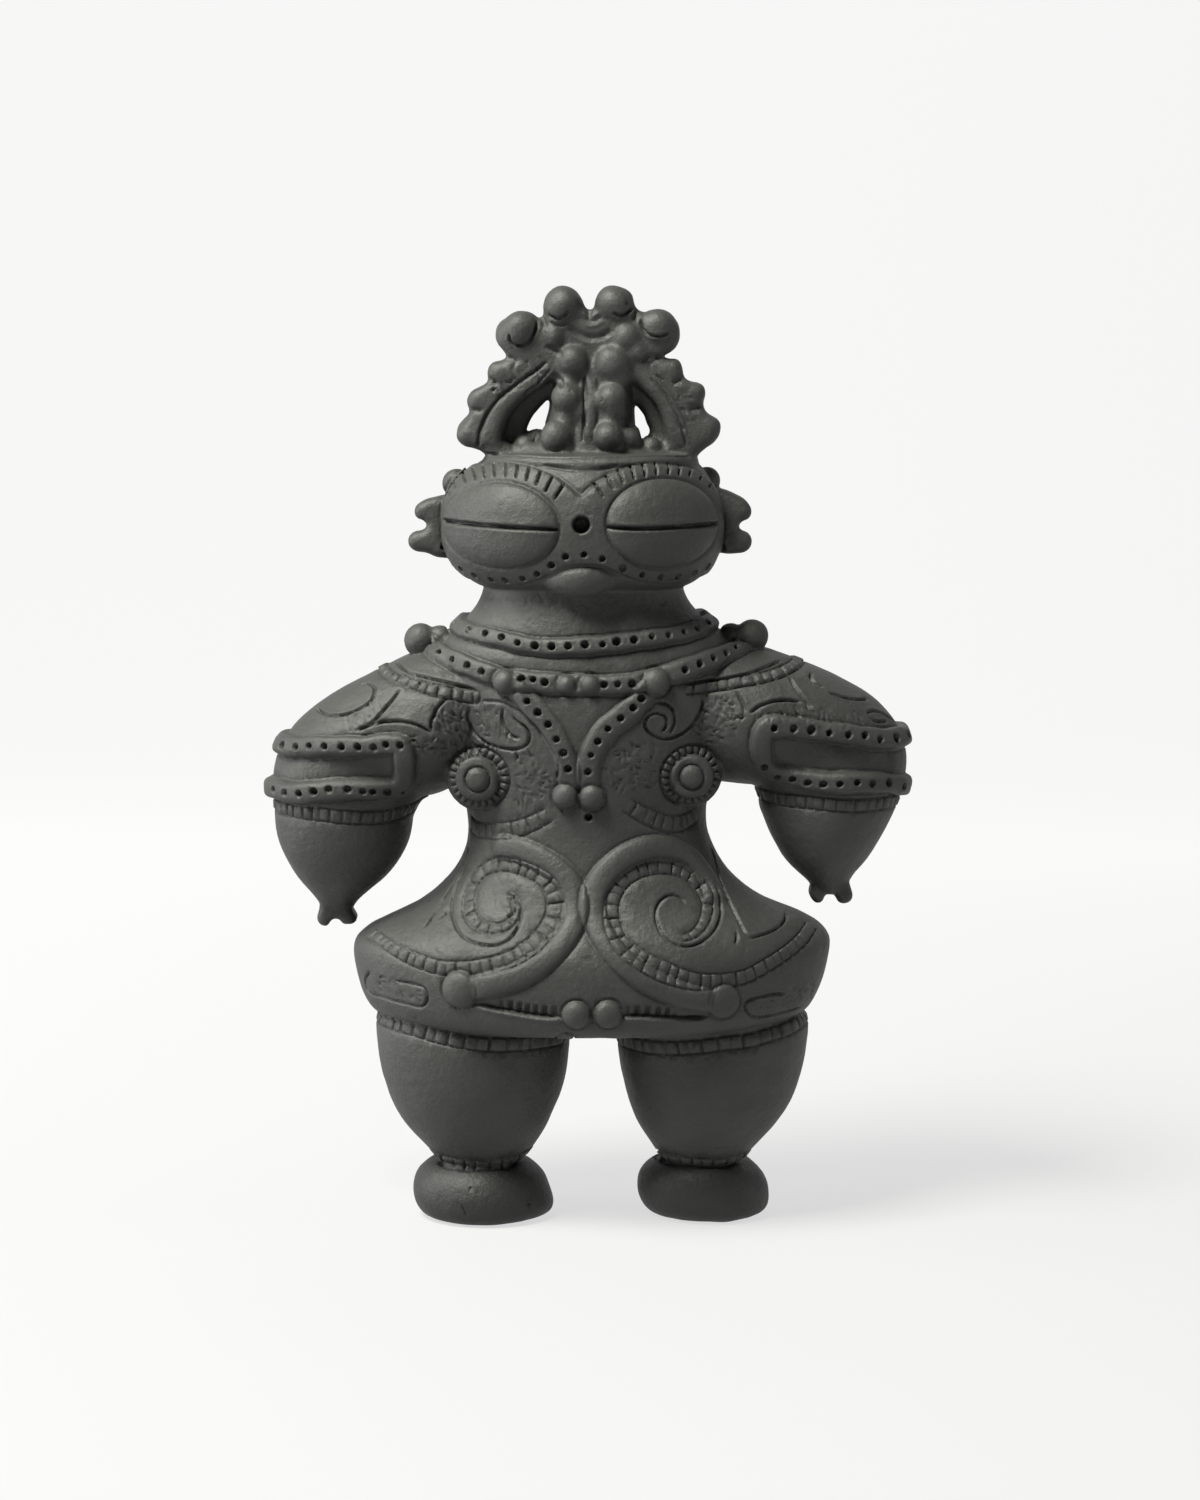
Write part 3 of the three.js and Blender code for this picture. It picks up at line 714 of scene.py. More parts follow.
def gouge(line, reach, deep, pitch, fluted):
    """A sharp slit, its upper side pressed into flutes between two shares of its length."""
    which, distance, along, side, length = measured(line)
    ends = tapered(along, length, 5)
    turn = along / pitch + 0.16 * np.sin(along / 3.3)
    flute = 1 - ease(np.abs(turn - np.round(turn)) * pitch, 0.2, 1.3)
    share = along / length
    flute = flute * ease(share, fluted[0] - 0.05, fluted[0] + 0.05) * ease(-share, -fluted[1] - 0.05, -fluted[1] + 0.05)
    above = ease(side, 0, 0.6) * (1 - ease(distance, 0.7 * reach, reach))
    skin.lift[which] -= (0.9 * (1 - distance / reach) + 1.3 * flute) * above * ends
    skin.lift[which] -= deep * (1 - ease(distance, 0.1, 0.85)) * ends
    skin.lift[which] += 0.45 * ridge(distance - 1.5, 0.6) * ease(-side, 0, 0.6) * ends


def tape(line, halves, high, pitch, deep=0.9, groove=0.9, mark=0.5):
    """A thin tape cut across into small cells. Its half width may change along it."""
    which, distance, along, _, length = measured(line)
    share = along / length
    half = np.interp(share, np.linspace(0, 1, len(halves)), halves)
    cell = along / pitch + 0.13 * np.sin(along / pitch * 1.9) + 0.1 * np.sin(along / pitch * 0.63 + 2)
    within = np.abs(cell - np.round(cell)) * pitch
    reach = deep * (0.75 + 0.35 * np.sin(np.round(cell) * 2.4))
    body = plateau(distance, half, 0.35)
    ends = tapered(along, length, 1.5)
    skin.lift[which] += ends * body * (high - reach * (1 - ease(within, 0, mark)))
    skin.lift[which] -= ends * groove * (1 - ease(np.abs(distance - half - 0.3), 0, 0.6))


def puncture(points, radius=1.2, deep=2.2, lip=0.16):
    """Round holes pushed in with a skewer."""
    for point, facing in points:
        which = skin.around(point[None])
        offset = skin.at[which] - point
        out = offset @ facing
        distance = np.sqrt(np.clip(np.einsum("ij,ij->i", offset, offset) - out**2, 0, None)) / MM
        near = np.abs(out) / MM < 4
        size = radius * (1 + 0.1 * random.standard_normal())
        hole = deep * (1 + 0.15 * random.standard_normal()) * plateau(distance, size, 0.28)
        edge = lip * ridge(distance - size - 0.55, 0.4)
        skin.lift[which] += np.where(near, edge - hole, 0)


def pat(pixel, radius, high, groove=0.7):
    """A round pellet pressed on, with a groove where it meets the clay under it."""
    point, facing = skin.hit(CAMERA, sight(pixel))
    which = skin.around(point[None] + NEIGHBOURS * CELL)
    offset = (skin.at[which] - point) / MM
    out = offset @ facing
    distance = np.sqrt(np.clip(np.einsum("ij,ij->i", offset, offset) - out**2, 0, None))
    near = which[np.abs(out) < 7]
    distance = distance[np.abs(out) < 7]
    under = distance < radius
    dome = high * np.sqrt(np.clip(1 - (distance / radius) ** 2, 0, 1))
    skin.lift[near[under]] = np.maximum(skin.lift[near[under]] * ease(distance[under], 0.5 * radius, radius), dome[under])
    skin.lift[near] -= groove * ridge(distance - radius - 0.2, 0.6)


def spots(pixels):
    return [hit for hit in (skin.hit(CAMERA, sight(pixel)) for pixel in pixels) if hit is not None]


def spaced(line, pitch):
    """Points along a line at equal steps, near enough."""
    points, facings = line
    run = np.concatenate([[0], np.cumsum(np.linalg.norm(np.diff(points, axis=0), axis=1))]) / MM
    marks = np.arange(pitch, run[-1] - pitch / 2, pitch)
    numbers = np.searchsorted(run, marks)
    return [(points[n], facings[n]) for n in numbers]


def dent(point, facing, angle, long, wide, deep):
    """One mark of a tool: a short trough with a little clay thrown up at its side."""
    which = skin.around(point[None])
    offset = (skin.at[which] - point) / MM
    level = np.cross(facing, (0, 0, 1.0))
    level /= max(np.linalg.norm(level), 1e-6)
    rise = np.cross(level, facing)
    ahead = offset @ (level * math.cos(angle) + rise * math.sin(angle))
    aside = offset @ (rise * math.cos(angle) - level * math.sin(angle))
    out = np.abs(offset @ facing) < 3
    trough = ridge(ahead, long) * (ridge(aside, wide) - 0.35 * ridge(aside - 1.7 * wide, wide))
    skin.lift[which] -= np.where(out, deep * trough, 0)


def inside(polygon, points):
    """Which points lie inside a polygon of pixels."""
    polygon = np.array(polygon, float)
    within = np.zeros(len(points), bool)
    for (ax, ay), (bx, by) in zip(polygon, np.roll(polygon, -1, axis=0)):
        crosses = (ay > points[:, 1]) != (by > points[:, 1])
        meets = ax + (points[:, 1] - ay) * (bx - ax) / (by - ay + 1e-9)
        within ^= crosses & (points[:, 0] < meets)
    return within


def tooled(polygon, count, angle, spread, deep, long=1.1, wide=0.42):
    """A patch roughened with many short marks of a tool."""
    low, high = np.min(polygon, axis=0), np.max(polygon, axis=0)
    points = low + random.random((count, 2)) * (high - low)
    for pixel in points[inside(polygon, points)]:
        hit = skin.hit(CAMERA, sight(pixel))
        if hit is not None:
            turn = math.radians(angle + spread * random.standard_normal())
            strength = deep * (0.5 + random.random())
            dent(*hit, turn, long * (0.6 + 0.8 * random.random()), wide, strength)


def lumps(at, size, seed):
    """Smooth random unevenness between -1 and 1, with lumps of about one size."""
    table = np.random.default_rng(seed).uniform(-1, 1, 4096)
    scaled = at / (size * MM)
    low = np.floor(scaled).astype(int)
    part = scaled - low
    part = part * part * (3 - 2 * part)
    total = 0
    for corner in ((x, y, z) for x in (0, 1) for y in (0, 1) for z in (0, 1)):
        cell = low + np.array(corner)
        number = (cell[:, 0] * 73856093) ^ (cell[:, 1] * 19349663) ^ (cell[:, 2] * 83492791)
        weight = np.prod(np.where(np.array(corner) == 1, part, 1 - part), axis=1)
        total = total + weight * table[number % 4096]
    return total


# Goggles

LENSES = [
    {"middle": (502.7, 525.3), "half": (57.3, 41.8), "turn": 4.5},
    {"middle": (660.5, 523.4), "half": (54.6, 43.9), "turn": -2.0},
]
LID_HIGH = 3.4
GOGGLE_OUTLINE = [
    (580.2, 496.6), (568, 486.6), (552.3, 475.4), (530, 467.4), (505.4, 463.8), (480.9, 464.6), (461, 471),
    (450, 484), (444, 501), (443, 522), (445, 544), (451, 561), (467.5, 575), (489.8, 582.4),
    (509.9, 584.4), (530, 581), (550.1, 573.4), (565.7, 566.8), (583.6, 564), (601.4, 566), (619.3, 572.4),
    (639.4, 580), (663.9, 583), (686.3, 580), (706, 571), (717, 556), (721, 536), (720.5, 513),
    (716, 496), (707, 481), (690.7, 469.6), (663.9, 465.3), (639.4, 466.5), (617.1, 472),
    (599.2, 482.1), (588, 491),
]
GOGGLE_HIGH = 1.5
STRAP_HOLES = [
    (444, 547), (453, 559), (464, 567), (477, 573), (493, 577), (507, 578), (524, 576), (538, 572),
    (552, 564), (566, 556), (584, 554), (602, 558), (622, 567), (641, 573), (659, 575), (676, 575),
    (692, 571), (705, 565), (716, 557), (722, 548),
]
# Marks across the top of the strap: their middles.
STRAP_MARKS_LEFT = [
    (451, 492.3), (456.7, 484.8), (466.6, 479), (476.5, 475.6), (486.1, 473.7), (496.4, 472.8),
    (507.9, 472.1), (518.7, 472.8), (529.3, 474.9), (539.6, 478.6), (549.7, 484.8), (559.6, 492.3),
]
STRAP_MARKS_RIGHT = [
    (598.6, 490.1), (609.4, 482.5), (620.4, 476.7), (631.9, 472.8), (643.4, 471), (655.3, 469.8),
    (667.5, 469.8), (677.8, 471), (688.1, 472.8), (698.5, 477.2), (707.6, 484.8),
]
STRAP_MARK_HALVES = (5, 9.6)  # half their length, in pixels, from the temple to the nose
EYE_SLITS = [
    [(448.5, 520.6), (475.8, 524), (503.3, 526.5), (530.9, 528.2), (559, 529.3)],
    [(606, 527.2), (634.2, 528.4), (660.6, 527.4), (687, 525.4), (715.5, 523)],
]
NOSE_HOLE = (581.4, 525)


def lens(middle, half, turn):
    """A swollen lid with a groove round it."""
    angle = math.radians(turn)
    right, down = pixel_x - middle[0], pixel_y - middle[1]
    u = (right * math.cos(angle) + down * math.sin(angle)) / half[0]
    v = (down * math.cos(angle) - right * math.sin(angle)) / half[1]
    radius = np.hypot(u, v)
    which = np.nonzero((to_front > 0) & (radius < 1.4))[0]
    radius = radius[which]
    skin.lift[which] += LID_HIGH * np.clip(1 - radius**2.4, 0, 1) ** 0.62 * to_front[which]
    beyond = (radius - 1) * half[1] / PIXELS_PER_MM
    skin.lift[which] -= 0.9 * ridge(beyond, 0.5) * to_front[which]


def across_marks(middles, centre, wide, deep):
    """Short cuts that point at a centre."""
    for half, middle in zip(np.linspace(*STRAP_MARK_HALVES, len(middles)), middles):
        towards = np.array(centre) - middle
        towards *= half / np.linalg.norm(towards)
        cut(laid([middle - towards, middle, middle + towards]), wide, deep, 0.1, 0.6)


def goggle_plate():
    """The raised plate that carries both lids, with the bridge of the nose between them."""
    outline = laid(GOGGLE_OUTLINE, True)
    which, distance, _, _, _ = measured(outline)
    within = inside(GOGGLE_OUTLINE, np.stack([pixel_x, pixel_y], axis=1)) & in_front
    signed = np.full(len(skin.at), -9.0)
    signed[within] = 9
    signed[which] = np.where(within[which], distance, -distance)
    skin.lift += GOGGLE_HIGH * ease(signed, -0.5, 1.1) * to_front
    skin.lift -= 0.5 * ridge(signed + 0.9, 0.5) * to_front


def carve_head():
    goggle_plate()
    for shape in LENSES:
        lens(**shape)
    for line in EYE_SLITS:
        cut(laid(line), 0.95, 3.4, 0.2, 0.8)
    across_marks(STRAP_MARKS_LEFT, (505, 578), 0.55, 2.3)
    across_marks(STRAP_MARKS_RIGHT[::-1], (653, 585), 0.55, 2.3)
    puncture(spots(STRAP_HOLES), 1.1, 2.6)
    puncture(spots([NOSE_HOLE]), 3.1, 11, 0.25)
    down = pixel_y - 583
    mouth = np.hypot((pixel_x - 580) / 39, down / np.where(down < 0, 19, 10))
    lips = in_front & (mouth < 1)
    skin.lift[lips] += 5.2 * (1 - mouth[lips] ** 2) ** 1.1
    cut(laid([(540, 465), (561, 468), (579, 470), (600, 469), (622, 465)]), 1.0, 0.8)


# Collars and lapels

COLLAR = [
    (453.5, 617), (458.7, 627.4), (472.2, 633.2), (488.2, 636.5), (504.2, 640), (519.7, 644), (536.2, 646.5),
    (552.4, 647.5), (568.7, 647), (585.2, 646), (602.4, 644.8), (616.2, 643.2), (633.2, 641.2),
    (649.9, 638.8), (666.6, 636.6), (681.9, 633.6), (694.5, 630), (703.4, 626), (711.2, 621.5),
    (717, 614),
]
COLLAR_HOLES = [
    (458.7, 627.4), (472.2, 633.2), (488.2, 635.9), (504.2, 639.5), (519.7, 644.6), (536.2, 647),
    (552.4, 647.5), (568.7, 647), (585.2, 645.6), (602.4, 645.3), (616.2, 642.7), (633.2, 641.2),
    (649.9, 638.8), (666.6, 637.3), (681.9, 634.4), (694.5, 632), (703.4, 627.1), (711.2, 623),
]
CHEST_BAND = [
    (424.2, 640), (433.9, 648.5), (442.2, 655), (455.3, 661.1), (470.3, 666.8), (484.3, 672.2),
    (506.2, 678.4), (522.9, 680.5), (534.3, 681.5), (545.7, 683), (566.7, 684.3), (589.8, 684.8),
    (604.1, 685.3), (617.2, 684.8), (631.5, 683), (655.7, 677.8), (682.8, 670.2), (697.1, 665),
    (710.7, 660), (723.1, 655), (734.5, 650.6), (742, 646.8), (747, 641),
]
CHEST_HOLES = [
    (433.9, 648.5), (442.2, 655.7), (455.3, 661.1), (470.3, 666.4), (484.3, 672.5), (522.9, 679.3),
    (534.3, 680), (545.7, 682.9), (604.1, 685.3), (617.2, 684.8), (631.5, 684.1), (682.8, 670.5),
    (697.1, 664.7), (710.7, 659.4), (723.1, 655.3), (734.5, 651.6), (742, 646.8),
]
LAPEL_LEFT = [
    (516, 686), (528.2, 701.1), (538.6, 712.2), (548.8, 724.1), (557.1, 738.9), (563.8, 752.4),
    (568.5, 768.2), (569, 782),
]
LAPEL_RIGHT = [
    (649, 688), (640.9, 698.4), (632.7, 707.6), (620.3, 718), (607.7, 728.5), (597.8, 741),
    (591, 754.5), (588, 771), (589, 783),
]
LAPEL_FLANGE = [(481, 701), (503, 703), (525, 716), (546, 740), (559, 764), (556, 780)]
# Pellets on the chest: the pixel, the radius and the height.
CHEST_PATS = [
    ((506, 682), 4.7, 5), ((656, 682), 5.2, 4.6), ((567, 684.5), 3.6, 3.8), ((590, 684.5), 3.8, 3.8),
    ((565.5, 796.5), 4.8, 3.7), ((592, 797), 4.8, 3.7),
]
LAPEL_HOLES = [*LAPEL_LEFT[1:-1], *LAPEL_RIGHT[1:-1], (588.6, 817.6)]


def carve_collars():
    covered = [np.linalg.norm(skin.at - on_plane(pixel, -4), axis=1) < (radius + 0.3) * MM
               for pixel, radius in SHOULDER_BALLS]
    collar = girdle(laid(COLLAR), 1.5)
    strip(collar, 2.7, 2.4, 0.8, 0.8)
    puncture(spots(COLLAR_HOLES), 1.15, 2.8)
    puncture(spaced(behind(laid(COLLAR), 1.5), 6), 1.15, 2.8)
    chest = girdle(laid(CHEST_BAND))
    strip(chest, 3.0, 2.3, 0.8, 0.6)
    puncture(spots(CHEST_HOLES), 1.15, 2.8)
    puncture(spaced(behind(laid(CHEST_BAND)), 6), 1.15, 2.8)
    for line in (LAPEL_LEFT, LAPEL_RIGHT):
        strip(laid(line), 3.2, 1.8, 1.0, 0.35)
    for ball_points in covered:
        skin.lift[ball_points] = 0
    cut(laid(LAPEL_FLANGE), 0.8, 1.0)
    for pixel, radius, high in CHEST_PATS:
        pat(pixel, radius, high)
    puncture(spots(LAPEL_HOLES), 1.2, 2.8)


# Shoulders and armlets

SHOULDER_TAPES = [
    [(382.4, 668), (390.6, 675.5), (402.9, 679.8), (415.1, 683.9), (427.3, 688), (439.6, 691),
     (451.8, 693.1), (464.1, 695.5), (474.7, 697.1)],
    [(683.6, 688.9), (703.1, 687), (726.1, 684.1), (741.4, 681.2), (754.8, 679.3), (770.1, 675.5),
     (781.6, 671.7), (793.1, 665.9), (797.9, 661.1)],
]
SHOULDER_LINES = [
    [(397.1, 661.8), (402.9, 668.6), (412, 673.5), (427.3, 677.6), (441.6, 681.2), (464.1, 686.9), (476.7, 690.4)],
    [(685, 684.7), (703.1, 681.6), (722.3, 678.9), (747.2, 673.6), (764.4, 667.8), (781.6, 660.6)],
    [(359.6, 684.3), (368.2, 682.9), (374.3, 687.3), (372.7, 697.1), (366.1, 704.7), (353.9, 711.4),
     (341.6, 715.1), (329.4, 715.1), (321.2, 711.8), (316.7, 707.8)],
    [(400.8, 687.8), (392.7, 699.6), (382.4, 711.8), (371.2, 723.7), (355.9, 730.2)],
    [(370.2, 726.1), (382.4, 722), (400.8, 721.6), (419.2, 726.1), (432.4, 734.3)],
    [(449.4, 696.5), (439.6, 705.7), (433.9, 715.9), (431, 724.1), (432.7, 733.9)],
    [(470.3, 706.6), (468.3, 717.5), (473.2, 730.9), (484.8, 741.8), (501.8, 748.3), (517.5, 749.1),
     (527.2, 744.2), (529.7, 735.7), (524.8, 727.2), (516.3, 721.2), (511, 713.9)],
    [(503.7, 706.6), (501.8, 716.3), (504.7, 727.2), (512, 736.2), (520.7, 738.6)],
    [(703, 696.5), (701.3, 709.1), (693.3, 723.6), (681.1, 734.5), (666.6, 739.1), (653.3, 735.7),
     (645.3, 727.2), (646.7, 718.3), (655.7, 713.4), (665.4, 716.8), (666.6, 726), (660.5, 732.8)],
    [(653.3, 702.3), (665.4, 703.7), (673.4, 711.5), (674.8, 723.6), (669.5, 733.8)],
    [(735.3, 690.4), (740.5, 698.5), (744.3, 708), (745.6, 714.1)],
    [(749.1, 713.8), (760.6, 706.1), (773.9, 701.3), (789.3, 700), (802.6, 702.7)],
    [(789.3, 677.4), (796.9, 688.9), (806.5, 702.3), (813.2, 708.4)],
    [(812.2, 672.6), (810.3, 677.4), (815.1, 684.1), (824.7, 687.4)],
    [(828.5, 692.3), (840.9, 696.5), (854.3, 699.4), (867.7, 699.4)],
    [(866.8, 713.8), (872.5, 710.9), (883, 714.1), (894.5, 721.4)],
    [(869.6, 716.6), (875.4, 721.4), (886.8, 721.4)],
]
# An armlet's rim runs from the outside along the top, down at the inner end and back along the bottom.
ARMLETS = [
    {
        "rim": [(277, 740), (282, 744), (290, 747), (301, 748), (313, 747.5), (328, 747), (344, 747), (360, 746.5),
                (375, 745.5), (388, 743.5), (397, 743.5), (402.5, 747.5), (404.5, 756), (405, 766), (404.5, 776),
                (402, 783.5), (396, 786.5), (386, 787.5), (372, 788.5), (362, 788.5), (348, 788.5), (331, 789.5),
                (317, 791), (304, 792.5), (291, 792), (281, 789.5), (272, 787), (265, 780)],
        "panel": [(276, 767), (290, 769), (320, 769), (350, 768), (375, 767), (392, 766)],
        "holes": [(281.4, 744.5), (289.2, 748.6), (300.8, 749.2), (313.3, 747.8), (328, 748), (344.3, 747.8),
                  (359.8, 747.1), (375.1, 747.1), (387.3, 743.9), (401.4, 743.9), (266.1, 783.3),
                  (271.6, 788.4), (280.6, 789.6), (290.8, 792.2), (303.7, 792.9), (316.9, 790.8),
                  (330.6, 788.4), (348.2, 787.8), (362.2, 788.8), (371.6, 788.4), (385.9, 787.8),
                  (402.2, 787.6)],
    },
    {
        "rim": [(906, 733), (900, 737), (890, 739), (876, 739), (861, 737), (845, 734.5), (827, 732), (810, 729.5),
                (792, 727.5), (777, 726), (768, 727), (763, 732), (761, 741), (761, 751), (763, 760), (769, 766.5),
                (778.5, 771), (794, 776), (809, 779.5), (824, 781.5), (839, 782.5), (855, 782), (869, 782),
                (884, 782), (896, 784), (904, 786), (910, 782)],
        "panel": [(776, 746), (795, 751.5), (820, 756), (845, 758.5), (870, 760), (895, 761.5)],
        "holes": [(773, 727.3), (792.1, 728.3), (809.9, 730), (827.1, 733.3), (845.3, 735.8), (860.8, 736.7),
                  (875.7, 740.9), (890.3, 740.2), (899.7, 737.1), (905.4, 732.9), (764.4, 761.6),
                  (778.5, 771.2), (794.2, 775.2), (809, 780.2), (823.7, 782.5), (839, 782.5), (854.7, 781.1),
                  (868.7, 782.1), (883.8, 781.1), (896.2, 784.2), (904.4, 786.1)],
    },
]
WRIST_TAPES = [
    [(272.7, 800.6), (280.4, 808.2), (300.8, 812.4), (325.3, 814.9), (341.6, 816.9), (366.1, 817.6),
     (390.6, 815.5), (411, 808.8), (422.9, 798)],
    [(759, 793.2), (773.9, 798), (793.1, 800.8), (812.2, 802.7), (831.4, 804.7), (850.5, 805.6),
     (869.6, 805), (892.6, 801.8)],
]


def carve_arms():
    for line in SHOULDER_TAPES:
        tape(girdle(laid(line)), (1.6, 1.9, 1.8, 1.8, 1.6), 0.7, 4.4, 1.7, 1.1, 0.6)
    for line in SHOULDER_LINES:
        cut(laid(line), 0.8, 1.7)
    for parts in ARMLETS:
        rim, panel = laid(parts["rim"]), laid(parts["panel"])
        for line in (panel, behind(panel)):
            roll(line, 5, -0.9, 0, 3)
        strip(girdle(rim), 3.1, 3.2, 0.9, 0.6)
        puncture(spaced(behind(rim), 5.8), 1.15, 2.6)
        puncture(spots(parts["holes"]), 1.15, 2.6)
    for line in WRIST_TAPES:
        tape(girdle(laid(line)), (2.1,), 0.3, 3.9, 1.2, 1.0)


# Breasts

BREASTS = [(477.6, 779), (691.2, 776.6)]
BREAST_NOTCHES = 23


def carve_breasts():
    for pixel in BREASTS:
        point, facing = skin.hit(CAMERA, sight(pixel))
        which = skin.around(point[None] + NEIGHBOURS * CELL * 2)
        offset = (skin.at[which] - point) / MM
        out = offset @ facing
        radius = np.sqrt(np.clip(np.einsum("ij,ij->i", offset, offset) - out**2, 0, None))
        near = (radius < 16) & (np.abs(out) < 9)
        level = np.cross(facing, (0, 0, 1.0))
        rise = np.cross(level, facing)
        turn = np.arctan2(offset @ rise, offset @ level)
        cell = turn / (2 * math.pi) * BREAST_NOTCHES
        within = np.abs(cell - np.round(cell)) / BREAST_NOTCHES * 2 * math.pi * radius
        notch = 1 - ease(within, 0, 0.55)
        ring = plateau(np.abs(radius - 9.5), 1.3, 0.3) * (0.6 - 1.7 * notch)
        disc_shape = 1.8 * np.sqrt(np.clip(1 - (np.abs(radius - 5.9) / 2.2) ** 4, 0, 1))
        knob = 2.7 * np.sqrt(np.clip(1 - (radius / 4.1) ** 4, 0, 1))
        grooves = 1.5 * ridge(radius - 11.2, 0.45) + 0.8 * ridge(radius - 8, 0.35)
        grooves = grooves + 1.2 * ridge(radius - 4.2, 0.3)
        skin.lift[which] += np.where(near, ring + disc_shape + knob - grooves, 0)


# Belly, hips and hem

ROLLS = [
    [(461.2, 990), (478.5, 987), (506.7, 980), (532.7, 967.9), (554.4, 950.1), (570.7, 928.4), (576.5, 906.7),
     (573, 889.4), (563.1, 875.3), (547.9, 863.4), (526.2, 852.5), (506.7, 847.1), (491.6, 848.2)],
    [(719, 999), (704, 1000), (669.3, 990.2), (639, 975), (616.2, 954.4), (601, 932.7), (593.5, 911.1),
     (594.5, 891.6), (604.3, 875.3), (623.8, 857.9), (647.7, 848.2), (669.3, 848.6), (686.7, 855.8),
     (701.9, 871), (711.6, 887.2), (716.6, 904.6)],
]
SPIRAL_TAPES = [
    [(371, 932), (379, 938), (389.6, 946), (404.8, 955.4), (420, 962), (437.3, 967.4), (454.7, 968.8),
     (472, 968), (491.6, 964.6), (513.2, 958.1), (532.7, 946.2), (547.9, 929.5), (556.2, 911.1),
     (553.3, 891.6), (541.4, 877.5), (521.9, 868.1), (502.4, 864.4), (485, 868.8), (474.2, 880.7),
     (468.8, 898.1), (470.3, 913.2), (478.5, 924.1), (493.7, 928), (507.8, 924.1), (515.8, 913.2),
     (515.4, 900.7), (507.8, 893.3)],
    [(812, 924), (803, 938), (790, 950), (775.6, 960), (760, 969), (745.2, 976.5), (723.6, 980.9),
     (701.9, 981.5), (686.7, 979.4), (669.3, 973.9), (647.7, 964.2), (628.2, 951.2), (616.2, 934.9),
     (611.2, 915.4), (613, 898.1), (622.7, 881.8), (639, 871), (658.5, 866), (678, 868.8), (693.2, 879),
     (704, 892.6), (707.9, 906.7), (704, 921.9), (693.6, 933.8), (680.2, 938.2)],
]
SPIRAL_HALVES = (1.9, 2.1, 2.2, 2.3, 2.6, 3.4, 3.3, 2.5, 2.2, 2.4, 2.2, 1.6, 1.0)
SCROLL_LINES = [
    [(466.6, 866.6), (456.9, 882.9), (451.9, 900.2), (452.5, 915.4), (459, 931.7), (473.1, 941.9),
     (492.6, 945.3), (506.7, 940.6), (515.4, 931), (520.4, 917.6), (518.7, 906.7), (515.4, 900.7)],
    [(711.6, 887.2), (720.3, 904.6), (720.3, 917.6), (712.7, 932.7), (697.5, 944), (681.3, 946.2),
     (666.1, 938.8), (656.8, 923), (656.3, 908.9), (662.8, 898.5), (672.6, 894.8), (681.3, 898.1),
     (685.6, 904.6)],
    [(505, 893), (513, 897), (516, 906), (512, 914), (503, 918)],
    [(468.6, 846.5), (465.1, 862.9), (452.9, 883.3), (440.6, 902.7), (429.4, 922), (423.3, 928.2)],
    [(450.7, 907.1), (444.5, 914.3), (437.3, 919.6)],
    [(711.2, 846.8), (716.5, 864.9), (724.2, 887.9), (731.8, 907), (738.5, 920.4), (746, 935)],
    [(785.4, 912.5), (785.4, 919.6), (776.4, 928.6), (758.6, 935.7), (747.9, 938.4)],
    [(735.7, 930.7), (737.1, 937.5), (734.5, 945)],
    [(369.5, 971.4), (365, 978.6), (365, 985.7), (369.5, 992.9), (390, 1000), (411.4, 1005.4),
     (420.4, 1007.1), (426.1, 1002.7), (427.1, 994.6), (423.6, 987.9), (411.4, 983.9), (393.6, 980.7)],
    [(785.4, 993.8), (772.9, 994.1), (762.1, 996.4), (752.3, 999.2), (745.2, 1004.5), (747.9, 1013.4),
     (755.9, 1017.5), (769.3, 1016.1), (783.6, 1012.5), (801.4, 1007.1)],
]
BUST_TAPES = [
    [(470.3, 821.1), (476.8, 829.1), (495.9, 831.3), (517.6, 829.1), (537.1, 821.1), (550.1, 813.5)],
    [(626, 804), (637.1, 811.4), (651.5, 818), (668.7, 823.8), (684, 821.9), (697.4, 813.3)],
]
# The slits' points, and between which shares of the length they are fluted.
HEM_SLITS = [
    ([(472, 1004), (484, 1006), (497, 1009), (511, 1011.5), (525, 1014), (540, 1016), (552, 1017), (565, 1017.5)],
     (0.3, 1.1)),
    ([(619, 1017), (632, 1016.5), (648, 1017), (664, 1018), (680, 1018.5), (696, 1018), (710, 1016)], (-0.1, 0.6)),
]
SKIRT_PATS = [
    ((459.6, 989.4), 6.8, 3.2), ((576.5, 1015), 5.2, 3), ((608, 1014.5), 5.2, 3), ((724, 1001.5), 6.4, 1.9),
]


def carve_belly():
    for line in ROLLS:
        roll(laid(line), 4.1, 2.3, 0.5)
        roll(behind(laid(line)), 3.7, 2.0, 0.4)
    for line in SPIRAL_TAPES:
        tape(laid(line), SPIRAL_HALVES, 0.2, 4.3, 1.3, 0.95)
    for line in SCROLL_LINES:
        cut(laid(line), 0.75, 1.4, 0.08)
    for line in BUST_TAPES:
        tape(laid(line), (2.2, 2.7, 2.7, 2.2), 0.25, 4.2, 1.1, 0.8)
    for line, fluted in HEM_SLITS:
        gouge(laid(line), 4.6, 2.8, 3.4, fluted)
    for pixel, radius, high in SKIRT_PATS:
        pat(pixel, radius, high)


# Legs and feet

LEG_TAPES = [
    [(376.2, 1013.4), (386.4, 1020.5), (398.9, 1025), (416.8, 1030), (432.9, 1035.2), (450.7, 1039.3),
     (465, 1042), (482.9, 1044.1), (500.7, 1044.6), (518.6, 1043.9), (536.4, 1042.3), (554.3, 1039.8),
     (567.7, 1036.6)],
    [(620.2, 1039.3), (638.9, 1045), (656.8, 1047.5), (676.4, 1047.9), (705, 1045.9), (722.9, 1043.4),
     (749.6, 1040.2), (767.5, 1035.2), (785.4, 1029.5), (797.9, 1023.2), (807.1, 1015.2)],
]
ANKLE_RINGS = [
    [(436, 1155), (444, 1160), (460, 1163.5), (482, 1165), (503, 1163), (517, 1158.5), (527, 1152)],
    [(656, 1152), (667, 1158), (690, 1161.5), (712, 1162.5), (733, 1160), (748, 1153)],
]
